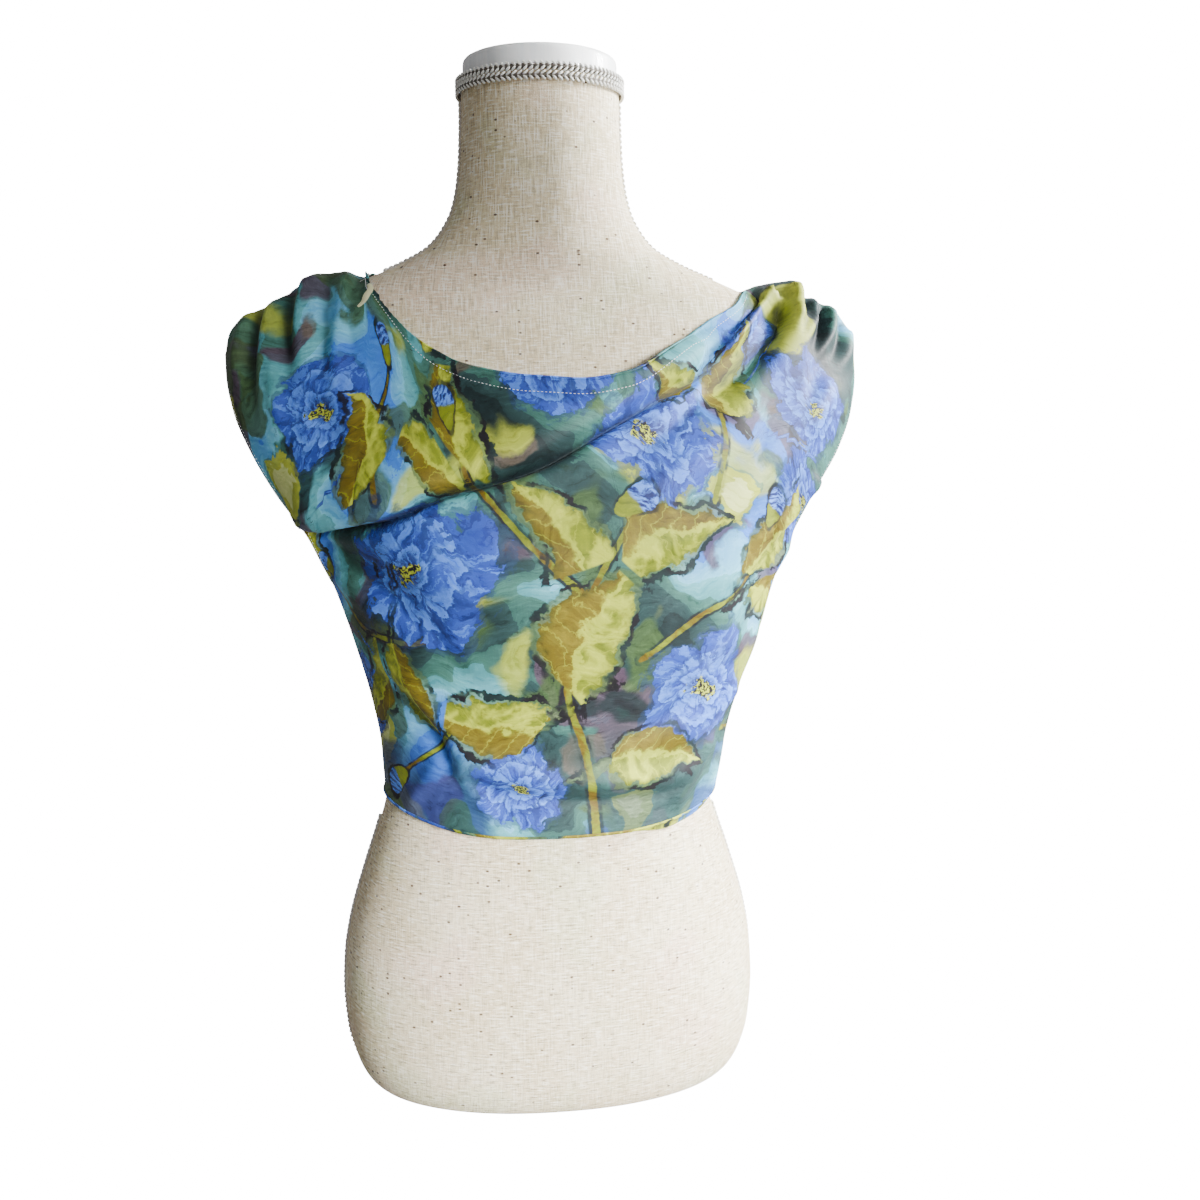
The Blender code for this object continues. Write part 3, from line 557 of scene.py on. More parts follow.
# x, y of the stalk end, length, width, heading in degrees, bend
leaves = [
    (0.010, 0.120, 0.086, 0.036, 68, 0.10), (0.018, 0.196, 0.080, 0.036, 118, -0.12),
    (0.040, 0.226, 0.078, 0.030, 12, 0.14), (-0.010, 0.100, 0.070, 0.030, 172, 0.12),
    (-0.060, 0.302, 0.084, 0.034, 96, 0.12), (-0.070, 0.296, 0.070, 0.028, 160, -0.10),
    (0.160, 0.206, 0.072, 0.032, 48, -0.12), (0.166, 0.190, 0.070, 0.028, -30, 0.10),
    (-0.150, 0.140, 0.070, 0.030, 235, 0.12), (-0.140, 0.150, 0.060, 0.026, 300, -0.10),
    (0.168, 0.340, 0.074, 0.034, 70, 0.12), (0.150, 0.372, 0.056, 0.024, 150, 0.10),
    (0.040, 0.060, 0.060, 0.026, -12, 0.12), (-0.170, 0.290, 0.062, 0.028, 120, -0.14),
    (-0.262, 0.180, 0.066, 0.030, 80, 0.12), (0.205, 0.060, 0.062, 0.028, 30, -0.12),
    (-0.095, 0.410, 0.058, 0.026, 40, 0.10), (0.250, 0.165, 0.060, 0.026, 60, 0.10),
    (0.800, 0.120, 0.086, 0.036, 100, 0.10), (0.808, 0.205, 0.078, 0.034, 60, -0.12),
    (0.780, 0.190, 0.074, 0.030, 150, 0.12), (0.830, 0.070, 0.066, 0.028, -10, 0.12),
    (0.770, 0.320, 0.074, 0.032, 80, 0.12), (0.920, 0.245, 0.078, 0.034, 35, -0.12),
    (0.640, 0.320, 0.066, 0.030, 130, 0.12), (0.965, 0.060, 0.064, 0.028, 60, 0.10),
    (0.630, 0.150, 0.066, 0.030, 200, 0.12), (0.925, 0.380, 0.060, 0.028, 110, 0.10),
]
leafScale = (1.4, 1.5)  # all leaves, longer and wider by these
# points and half width
stems = [
    ([(0.030, -0.02), (0.022, 0.060), (0.004, 0.130), (0.022, 0.200), (0.060, 0.262)], 0.0026),
    ([(0.022, 0.196), (-0.020, 0.240), (-0.062, 0.300), (-0.078, 0.352)], 0.0022),
    ([(0.060, 0.150), (0.110, 0.180), (0.162, 0.200), (0.190, 0.246)], 0.0022),
    ([(-0.100, 0.160), (-0.142, 0.150), (-0.190, 0.150), (-0.240, 0.190)], 0.0020),
    ([(-0.010, 0.100), (-0.062, 0.104), (-0.092, 0.076), (-0.140, 0.030)], 0.0018),
    ([(0.130, 0.270), (0.160, 0.330), (0.160, 0.400)], 0.0020),
    ([(-0.150, 0.290), (-0.176, 0.340), (-0.170, 0.400)], 0.0018),
    ([(0.160, 0.060), (0.200, 0.056), (0.250, 0.100)], 0.0018),
    ([(0.810, -0.02), (0.800, 0.080), (0.792, 0.160), (0.812, 0.240), (0.790, 0.320)], 0.0026),
    ([(0.792, 0.160), (0.750, 0.190), (0.690, 0.180)], 0.0020),
    ([(0.812, 0.240), (0.870, 0.236), (0.930, 0.250), (0.980, 0.290)], 0.0022),
    ([(0.800, 0.060), (0.860, 0.052), (0.930, 0.060)], 0.0018),
    ([(0.640, 0.140), (0.620, 0.220), (0.640, 0.330)], 0.0018),
]
# x, y, radius, turn
buds = [
    (0.062, 0.272, 0.013, 30), (-0.078, 0.362, 0.013, 100), (0.196, 0.256, 0.012, 60), (-0.146, 0.024, 0.012, 220),
    (-0.168, 0.410, 0.013, 90), (0.258, 0.108, 0.013, 40), (-0.246, 0.196, 0.012, 140), (0.790, 0.332, 0.013, 90),
    (0.986, 0.300, 0.013, 60), (0.842, 0.280, 0.011, 30), (0.940, 0.062, 0.012, 0), (0.644, 0.344, 0.012, 100),
]
# x, y, radius, how much paler (or darker, less than 0) the ground is there
washes = [
    (-0.235, 0.370, 0.070, 0.13), (-0.225, 0.270, 0.050, 0.08), (0.165, 0.215, 0.060, 0.12),
    (0.215, 0.320, 0.050, 0.10), (0.010, 0.250, 0.050, 0.05), (-0.035, 0.335, 0.045, -0.09),
    (0.020, 0.120, 0.050, -0.05), (-0.090, 0.110, 0.045, 0.06), (0.090, 0.060, 0.060, -0.06),
    (0.270, 0.400, 0.050, -0.08), (-0.130, 0.430, 0.040, -0.12), (0.140, 0.420, 0.050, 0.08),
    (0.024, 0.290, 0.035, -0.12), (0.064, 0.155, 0.035, -0.10), (-0.030, 0.170, 0.030, -0.08),
    (0.640, 0.300, 0.060, 0.10), (0.780, 0.360, 0.060, -0.08), (0.860, 0.200, 0.070, 0.08),
    (0.960, 0.400, 0.060, 0.09), (0.680, 0.120, 0.060, -0.07), (0.990, 0.180, 0.060, -0.06),
]
# x, y, radius of pale yellow-green splashes on the ground
splashes = [
    (0.264, 0.206, 0.028), (0.060, 0.020, 0.022), (0.150, 0.268, 0.026), (-0.264, 0.296, 0.028),
    (-0.165, 0.056, 0.024), (0.655, 0.290, 0.044), (0.965, 0.395, 0.046), (0.880, 0.085, 0.030),
    (0.715, 0.155, 0.026),
]


def printLayers(x, y):
    # for each place on the cloth: its place within the nearest bloom, leaf, stem and bud, and how far it is
    def nearest(found, gap, field, best):
        closer = gap < best
        return np.where(closer[..., None], np.stack(field, axis=-1), found), np.where(closer, gap, best)

    empty = np.full(x.shape + (3,), 9.0)
    far = np.full(x.shape, 1e9)
    layers = {}
    for name, table in (("bloom", blooms), ("bud", buds)):
        found, best = empty, far
        for cx, cy, radius, turn in table:
            c, s = math.cos(math.radians(turn)), math.sin(math.radians(turn))
            dx, dy = (x - cx) / radius, (y - cy) / radius
            gap = np.hypot(dx, dy)
            found, best = nearest(found, gap, (dx * c + dy * s, dy * c - dx * s, gap), best)
        layers[name] = np.clip(found, -9, 9)
    found, best, second = empty, far, far
    for cx, cy, length, width, heading, bend in leaves:
        length, width = length * leafScale[0], width * leafScale[1]
        c, s = math.cos(math.radians(heading)), math.sin(math.radians(heading))
        run = ((x - cx) * c + (y - cy) * s) / length
        over = ((y - cy) * c - (x - cx) * s - bend * length * 4 * run * (1 - run)) / (width / 2)
        gap = np.hypot((run - 0.5) * length, over * width / 2)
        second = np.where(gap < best, best, np.minimum(second, gap))
        found, best = nearest(found, gap, (run, over, gap), best)
    found[..., 2] = (second - best) * 100  # how clearly this leaf is the nearest one
    layers["leaf"] = np.clip(found, -9, 9)
    found, best = empty, far
    for points, width in stems:
        side, gap, place = besideLine(x, y, smoothLine(points, 26))
        thin = width * (1.15 - 0.5 * place)
        found, best = nearest(found, gap, (side / thin, gap / thin, place), best)
    layers["stem"] = np.clip(found, -40, 40)
    depth = sum(amount * np.exp(-((x - cx) ** 2 + (y - cy) ** 2) / (2 * radius ** 2))
                for cx, cy, radius, amount in washes)
    splash = np.max([1 - np.hypot(x - cx, y - cy) / radius for cx, cy, radius in splashes], axis=0)
    layers["depth"] = np.stack([depth, np.clip(splash, -1, 1), depth], axis=-1)
    return layers


paints = {
    "deepTeal": paint(38, 54, 56), "teal": paint(58, 86, 86), "seafoam": paint(78, 122, 112),
    "aqua": paint(98, 162, 168), "mist": paint(134, 206, 222), "sky": paint(76, 134, 214),
    "mauve": paint(98, 78, 96), "taupe": paint(112, 100, 88), "sage": paint(84, 108, 66),
    "plum": paint(34, 30, 38), "bloom": paint(64, 92, 176), "bloomDeep": paint(48, 64, 128),
    "bloomPale": paint(102, 148, 230), "leaf": paint(132, 142, 40), "leafPale": paint(186, 194, 76),
    "ochre": paint(116, 98, 30), "moss": paint(64, 76, 36), "cream": paint(214, 222, 158),
}

printGroup, w, source, target = newGroup(
    "paintedPrint",
    {"Flat": "Vector", "Bloom": "Vector", "Leaf": "Vector", "Stem": "Vector", "Bud": "Vector", "Depth": "Vector"},
    {"Color": "Color", "Stroke": "Float"})
wide = w.vector("SUBTRACT", w.noise(source["Flat"], 13.0, 2.0, colour=True), (0.5,) * 3)
fine = w.vector("SUBTRACT", w.noise(source["Flat"], 85.0, 3.0, 0.6, colour=True), (0.5,) * 3)
grit = w.noise(source["Flat"], 900.0, 2.0, 0.6)
place = w.vector("ADD", source["Flat"], w.vector("ADD", w.vector("SCALE", wide, scale=0.10),
                                               w.vector("SCALE", fine, scale=0.010)))
stroke = w.noise(w.vector("MULTIPLY", place, (70.0, 260.0, 1.0)), 1.0, 3.0, 0.6)

# watery ground in hard-edged washes, one over another
paler, splash, _ = w.apart(source["Depth"])
wash = w.maths("ADD", w.noise(place, 9.0, 1.5, 0.45), paler)
steps = w.maths("DIVIDE", w.maths("ROUND", w.maths("MULTIPLY", wash, 13.0)), 13.0)
wash = w.maths("ADD", w.maths("MULTIPLY", wash, 0.45), w.maths("MULTIPLY", steps, 0.55))
ground = w.ramp(wash, [(0.34, paints["deepTeal"]), (0.41, paints["teal"]), (0.47, paints["seafoam"]),
                       (0.53, paints["aqua"]), (0.59, paints["mist"]), (0.66, paints["sky"])])
second = w.noise(w.vector("ADD", place, (3.1, 1.7, 0.0)), 8.0, 2.0)
ground = w.mix(w.ease(second, 0.575, 0.60, 0.0, 0.85), ground, paints["mauve"])
ground = w.mix(w.ease(second, 0.64, 0.66, 0.0, 0.85), ground, paints["plum"])
third = w.noise(w.vector("ADD", place, (7.3, 4.9, 0.0)), 10.0, 2.0)
ground = w.mix(w.ease(third, 0.59, 0.62, 0.0, 0.8), ground, paints["sage"])
ground = w.mix(w.ease(third, 0.36, 0.33, 0.0, 0.75), ground, paints["taupe"])
ground = w.mix(w.ease(third, 0.30, 0.28, 0.0, 0.8), ground, paints["deepTeal"])
fourth = w.noise(w.vector("ADD", place, (1.3, 9.2, 0.0)), 7.0, 2.0)
ground = w.mix(w.ease(fourth, 0.60, 0.64, 0.0, 0.75), ground, paints["leafPale"])
ground = w.mix(w.ease(fourth, 0.365, 0.34, 0.0, 0.85), ground, paints["deepTeal"])
ground = w.mix(w.ease(fourth, 0.32, 0.30, 0.0, 0.85), ground, paints["plum"])

blot = w.maths("MULTIPLY_ADD", w.maths("SUBTRACT", w.noise(place, 26.0, 3.0, 0.6), 0.5), 2.2, splash)
ground = w.mix(w.ease(blot, 0.02, 0.10, 0.0, 0.6), ground, paints["seafoam"])
ground = w.mix(w.ease(blot, 0.16, 0.22, 0.0, 0.9), ground, paints["leafPale"])
ground = w.mix(w.ease(blot, 0.52, 0.60, 0.0, 0.8), ground, paints["cream"])

nearHem = w.maths("MULTIPLY", w.ease(w.apart(place)[1], 0.10, 0.03), w.ease(second, 0.36, 0.46))
ground = w.mix(w.maths("MULTIPLY", nearHem, 0.8), ground, w.mix(w.ease(wash, 0.46, 0.54), paints["teal"],
                                                             paints["bloomDeep"]))

# stems
gap = w.apart(source["Stem"])[1]
gap = w.maths("ADD", gap, w.maths("MULTIPLY", w.apart(fine)[0], 1.6))
stemMask = w.ease(gap, 1.25, 0.90)
stemInk = w.ease(gap, 2.5, 1.8)

# leaves, with a line that wanders beside them
leafSway = w.vector("ADD", w.vector("MULTIPLY", fine, (0.18, 0.80, 0.0)), w.vector("MULTIPLY", wide, (0.45, 1.90, 0.0)))
run, over, leafGap = w.apart(w.vector("ADD", source["Leaf"], leafSway))
onLeaf = w.ease(leafGap, 0.45, 0.80)
tone = w.noise(place, 9.0)
shapeOfLeaf = w.maths("MULTIPLY", w.maths("SQRT", w.maths("MAXIMUM", run, 0.0)),
                      w.maths("MULTIPLY", w.maths("SUBTRACT", 1.0, run), 2.6))
teeth = w.maths("MULTIPLY", w.maths("PINGPONG", w.maths("MULTIPLY", run, 6.0), 0.5), 0.16)
half = w.maths("ABSOLUTE", over)
inside = w.maths("SUBTRACT", w.maths("SUBTRACT", shapeOfLeaf, half), teeth)
leafMask = w.maths("MULTIPLY", w.ease(inside, -0.02, 0.05), onLeaf)
beside = w.maths("MULTIPLY_ADD", w.maths("SUBTRACT", w.noise(place, 16.0, 2.0), 0.5), 0.7, inside)
leafInk = w.maths("MULTIPLY", w.ease(beside, -0.34, -0.27), w.ease(beside, -0.06, -0.14))
leafHalo = w.maths("MULTIPLY", w.ease(beside, -0.30, -0.22), onLeaf)
leafTone = w.mix(w.ease(w.noise(place, 60.0, 2.0), 0.40, 0.62), paints["leaf"], paints["leafPale"])
leafTone = w.mix(w.ease(w.maths("ADD", over, w.maths("MULTIPLY", tone, 0.6)), 0.25, 0.50, 0.0, 0.85),
                 leafTone, paints["ochre"])
leafTone = w.mix(w.ease(inside, 0.25, 0.0, 0.0, 0.5), leafTone, paints["moss"])
ribs = w.maths("PINGPONG", w.maths("SUBTRACT", w.maths("MULTIPLY", run, 6.0), w.maths("MULTIPLY", half, 1.3)), 0.5)
leafTone = w.mix(w.ease(ribs, 0.07, 0.02, 0.0, 0.4), leafTone, paints["leafPale"])
leafTone = w.mix(w.ease(half, 0.11, 0.05, 0.0, 0.8), leafTone, paints["leafPale"])

# blooms, three rings of petals
bloomSway = w.vector("ADD", w.vector("MULTIPLY", fine, (0.30, 0.30, 0.0)),
                     w.vector("MULTIPLY", wide, (1.30, 1.30, 0.0)))
petalAt = w.vector("ADD", source["Bloom"], bloomSway)
px, py, bloomGap = w.apart(petalAt)
onBloom = w.ease(bloomGap, 1.75, 1.40)
reach = w.vector("LENGTH", w.vector("MULTIPLY", petalAt, (1.0, 1.0, 0.0)))
spin = w.maths("ARCTAN2", py, px)
rough = w.maths("MULTIPLY", w.maths("SUBTRACT", w.noise(petalAt, 4.0, 3.0, 0.6), 0.5), 0.75)
petals = []
for count, turn, size, swing in ((2.5, 0.0, 0.74, 0.22), (2.5, 1.25, 0.48, 0.16), (2.0, 0.5, 0.27, 0.09)):
    lobe = w.maths("POWER", w.maths("ABSOLUTE", w.maths("COSINE", w.maths("MULTIPLY_ADD", spin, count, turn))), 0.6)
    edge = w.maths("ADD", w.maths("MULTIPLY_ADD", lobe, swing, size), w.maths("MULTIPLY", rough, size))
    petals.append((lobe, edge, w.maths("SUBTRACT", edge, reach)))
streak = w.noise(w.add("CombineXYZ", {0: w.maths("MULTIPLY", spin, 7.0), 1: w.maths("MULTIPLY", reach, 2.2),
                                      2: w.noise(place, 5.0)}).outputs[0], 1.0, 3.0, 0.6)
bloomInk = w.maths("MULTIPLY", w.ease(petals[0][2], -0.13, -0.07), onBloom)
bloomMask = w.maths("MULTIPLY", w.ease(petals[0][2], -0.01, 0.02), onBloom)
bloomColour = paints["bloom"]
for ring, (lobe, edge, depth) in enumerate(petals):
    ringColour = w.mix(w.ease(depth, 0.02, 0.22), paints["bloomPale"] if ring else paints["bloom"],
                       paints["bloomDeep"] if ring == 2 else paints["bloom"])
    ringColour = w.mix(w.ease(streak, 0.53, 0.57, 0.0, 0.65), ringColour, paints["bloomPale"])
    ringColour = w.mix(w.ease(streak, 0.43, 0.39, 0.0, 0.75), ringColour, paints["bloomDeep"])
    ringColour = w.mix(w.ease(lobe, 0.42, 0.10, 0.0, 0.60), ringColour, paints["bloomDeep"])
    bloomColour = w.mix(w.ease(depth, -0.07, -0.02, 0.0, 0.5), bloomColour, paints["bloomDeep"])
    bloomColour = w.mix(w.ease(depth, -0.01, 0.02), bloomColour, ringColour)
heart = w.ease(w.maths("ADD", reach, rough), 0.15, 0.10)
dots = w.noise(petalAt, 22.0, 1.0)
bloomColour = w.mix(heart, bloomColour, w.mix(w.ease(dots, 0.48, 0.54), paints["plum"], paints["leafPale"]))

# buds
bx, by, budGap = w.apart(w.vector("ADD", source["Bud"], w.vector("MULTIPLY", fine, (0.5, 0.5, 0.0))))
onBud = w.ease(budGap, 2.2, 1.8)
taper = w.maths("MULTIPLY_ADD", bx, -0.40, 1.35)  # slim toward the stalk
budReach = w.maths("SQRT", w.maths("ADD", w.maths("POWER", w.maths("MULTIPLY", bx, 0.72), 2.0),
                                   w.maths("POWER", w.maths("MULTIPLY", by, taper), 2.0)))
budInk = w.maths("MULTIPLY", w.ease(budReach, 1.30, 1.16), onBud)
budMask = w.maths("MULTIPLY", w.ease(budReach, 1.06, 0.98), onBud)
budColour = w.mix(w.ease(bx, -0.1, 0.1), paints["leaf"], w.mix(w.ease(stroke, 0.42, 0.56), paints["bloomDeep"],
                                                            paints["bloomPale"]))

# outlines in broken, thick and thin strokes, then the motifs over them
broken = w.ease(w.noise(place, 30.0, 2.0), 0.40, 0.52, 0.15, 1.0)
inkTone = w.mix(w.ease(w.noise(place, 20.0, 1.0), 0.44, 0.56), paints["plum"], paints["deepTeal"])
ink = w.maths("MULTIPLY", w.maths("MAXIMUM", w.maths("MAXIMUM", stemInk, leafInk), budInk), broken)
ground = w.mix(w.maths("MULTIPLY", leafHalo, 0.65), ground, w.mix(tone, paints["seafoam"], paints["leaf"]))
colour = w.mix(w.maths("MULTIPLY", ink, 0.92), ground, inkTone)
stemTone = w.mix(w.ease(w.noise(place, 45.0, 3.0), 0.40, 0.58), paints["ochre"], paints["leaf"])
colour = w.mix(stemMask, colour, stemTone)
colour = w.mix(w.maths("MULTIPLY", bloomInk, 0.55), colour, w.mix(0.5, paints["teal"], paints["bloomDeep"]))
colour = w.mix(bloomMask, colour, bloomColour)
colour = w.mix(w.maths("MULTIPLY", w.maths("MULTIPLY", leafInk, broken), 0.9), colour, inkTone)
colour = w.mix(leafMask, colour, leafTone)
colour = w.mix(w.maths("MULTIPLY", w.maths("MULTIPLY", budInk, broken), 0.8), colour, inkTone)
colour = w.mix(budMask, colour, budColour)

# brush marks and the grain of the paint
colour = w.mix(w.ease(stroke, 0.50, 0.66, 0.0, 0.30), colour, (1.0, 1.0, 1.0, 1.0), "SOFT_LIGHT")
colour = w.mix(w.ease(stroke, 0.46, 0.32, 0.0, 0.40), colour, (0.0, 0.0, 0.0, 1.0), "SOFT_LIGHT")
colour = w.mix(w.ease(grit, 0.55, 0.75, 0.0, 0.25), colour, (1.0, 1.0, 1.0, 1.0), "SOFT_LIGHT")
w.feed(target["Color"], colour)
w.feed(target["Stroke"], stroke)


# the print's dye depth, and how strongly painted shade darkens the cloth where it lies in a crease
clothDyeAndShade = {"depth": 1.22, "creaseShade": 0.80}  # depth: 1 leaves the paints as they are, more darkens them


def clothMaterial(name, roughness, fade, sheen):
    # the print on crepe; fade pales it toward the wrong side
    material, w, shader = newMaterial(name, roughness, Sheen_Weight=sheen, Sheen_Roughness=0.4,
                                      Specular_IOR_Level=0.22)
    flat = w.add("UVMap", uv_map="flat").outputs[0]
    field = {label: w.add("Attribute", attribute_name=label.lower()).outputs["Vector"]
             for label in ("Bloom", "Leaf", "Stem", "Bud", "Depth")}
    printed = w.group(printGroup, {"Flat": flat, **field})
    weave = w.group(weaveGroup, {"Flat": flat, "Pitch": 0.00075, "Slub": 0.8})
    colour = w.add("Gamma", {0: printed["Color"], 1: clothDyeAndShade["depth"]}).outputs[0]
    colour = w.mix(fade, colour, paint(214, 220, 218))
    # painted shade: the print is darkened toward a near-black teal where the cloth lies in a crease, by the hollow
    # attribute
    hollow = w.apart(w.add("Attribute", attribute_name="hollow").outputs["Vector"])[0]
    colour = w.mix(w.maths("MULTIPLY", hollow, clothDyeAndShade["creaseShade"]), colour, paint(14, 22, 28))
    w.feed(shader["Base Color"], w.mix(w.ease(weave["Thread"], 0.40, 0.62, 0.10, 0.0), colour,
                                       (0.0, 0.0, 0.0, 1.0), "SOFT_LIGHT"))
    w.feed(shader["Roughness"], w.ease(weave["Thread"], 0.3, 0.7, roughness - 0.06, roughness + 0.08))
    crepe = w.noise(flat, 1100.0, 2.0, 0.6)
    relief = w.maths("ADD", w.maths("MULTIPLY", weave["Height"], 0.4), crepe)
    w.feed(shader["Normal"], w.add("Bump", {"Strength": 0.20, "Distance": 0.00035, "Height": relief}).outputs[0])
    return material


clothRight = clothMaterial("printedRightSide", 0.60, 0.0, 0.02)
clothWrong = clothMaterial("printedWrongSide", 0.66, 0.45, 0.02)

# The cloth, hung over the form.

clothSettings = {
    "columns": 240, "rows": 170,     # faces across and up each panel
    "wall": 0.0007,                  # thickness of the cloth
    "seamGap": 0.0004,               # between front and back at a seam
    "offForm": 0.0030,               # the cloth to the form, with room for the hems inside
    "onShoulder": 0.0013,            # the same where it rests on the shoulders
    "neckShare": 0.60,               # share of the half width that the neckline takes
    "rollFrom": 0.55,                # share of the height where a panel begins to roll over the shoulder
    "swing": 0.050,                  # how far the armhole edges stand apart
    "underarms": (0.420, 0.372),     # height at which each side seam ends
    "hem": (0.2320, 0.2350, 0.2500, 0.2465),  # height at the middle of the front and back, and at each side
    "calmEdge": 0.08,                # share of the half width over which folds die out at the sides
    "gatherFrom": (0.20, 0.50),      # share of the half width over which rows crowd toward the shoulder
    "narrowFrom": 0.40,              # share of the height from which columns lean toward the shoulder line
    "foldHeight": 1.6,               # all folds, times this
    "foldFall": 1.4,                 # how steeply a fold falls away beside its crest
    "foldAtSeam": 0.35,              # share of a fold's height that reaches the shoulder seam
    "tuckReach": (0.02, 0.06),       # hidden cloth eases out between these distances from its crease
    "hollowDepth": 0.0038,           # a crease this deep is shaded in full
}

# side outline: height, left, right at the back, right at the front
sideRows = [
    (0.236, 0.1350, 0.1400, 0.1400), (0.270, 0.1375, 0.1480, 0.1480), (0.288, 0.1385, 0.1510, 0.1510),
    (0.325, 0.1450, 0.1620, 0.1620), (0.370, 0.1570, 0.1790, 0.1790), (0.411, 0.1700, 0.1910, 0.1840),
    (0.440, 0.1810, 0.2010, 0.1900), (0.463, 0.1900, 0.2100, 0.1980), (0.498, 0.2120, 0.2260, 0.2170),
    (0.530, 0.2300, 0.2430, 0.2380), (0.561, 0.2440, 0.2560, 0.2530), (0.590, 0.2510, 0.2610, 0.2600),
    (0.606, 0.2520, 0.2600, 0.2600),
]
# shoulder lines, from 0 at the tip to 1 at the neck point: share, x, z
leftShoulder = [(0.00, -0.2510, 0.6060), (0.13, -0.2475, 0.6220), (0.25, -0.2360, 0.6350),
                (0.45, -0.2080, 0.6480), (0.58, -0.1900, 0.6610), (0.70, -0.1760, 0.6675),
                (0.83, -0.1600, 0.6700), (0.92, -0.1470, 0.6670), (1.00, -0.1360, 0.6660)]
rightShoulder = [(0.00, 0.2590, 0.6060), (0.14, 0.2570, 0.6200), (0.28, 0.2490, 0.6360),
                 (0.42, 0.2360, 0.6460), (0.60, 0.2160, 0.6540), (0.70, 0.2060, 0.6660),
                 (0.83, 0.1870, 0.6640), (1.00, 0.1680, 0.6590)]
# necklines from left to right: share, x, y, z
frontNeck = [(0.00, -0.1360, -0.0002, 0.6660), (0.06, -0.1320, -0.0240, 0.6470), (0.15, -0.1170, -0.0500, 0.6280),
             (0.24, -0.0950, -0.0740, 0.6080), (0.36, -0.0590, -0.0970, 0.5920), (0.48, -0.0200, -0.1080, 0.5854),
             (0.58, 0.0110, -0.1092, 0.5850), (0.70, 0.0500, -0.1020, 0.5898), (0.80, 0.0860, -0.0860, 0.6010),
             (0.88, 0.1180, -0.0660, 0.6145), (0.95, 0.1460, -0.0400, 0.6320), (1.00, 0.1680, -0.0002, 0.6590)]
backNeck = [(0.00, -0.1360, 0.0002, 0.6660), (0.15, -0.1130, 0.0420, 0.6520), (0.35, -0.0620, 0.0880, 0.6360),
            (0.50, 0.0120, 0.1010, 0.6310), (0.68, 0.0820, 0.0860, 0.6360), (0.87, 0.1440, 0.0400, 0.6490),
            (1.00, 0.1680, 0.0002, 0.6590)]
# depth in the middle: height, front, back
depthRows = [(0.236, 0.1030, 0.1020), (0.270, 0.1010, 0.0970), (0.300, 0.1060, 0.0980), (0.340, 0.1180, 0.1010),
             (0.390, 0.1340, 0.1070), (0.430, 0.1420, 0.1130), (0.470, 0.1450, 0.1180), (0.510, 0.1420, 0.1200),
             (0.550, 0.1280, 0.1190), (0.590, 0.1080, 0.1150), (0.640, 0.1000, 0.1020)]

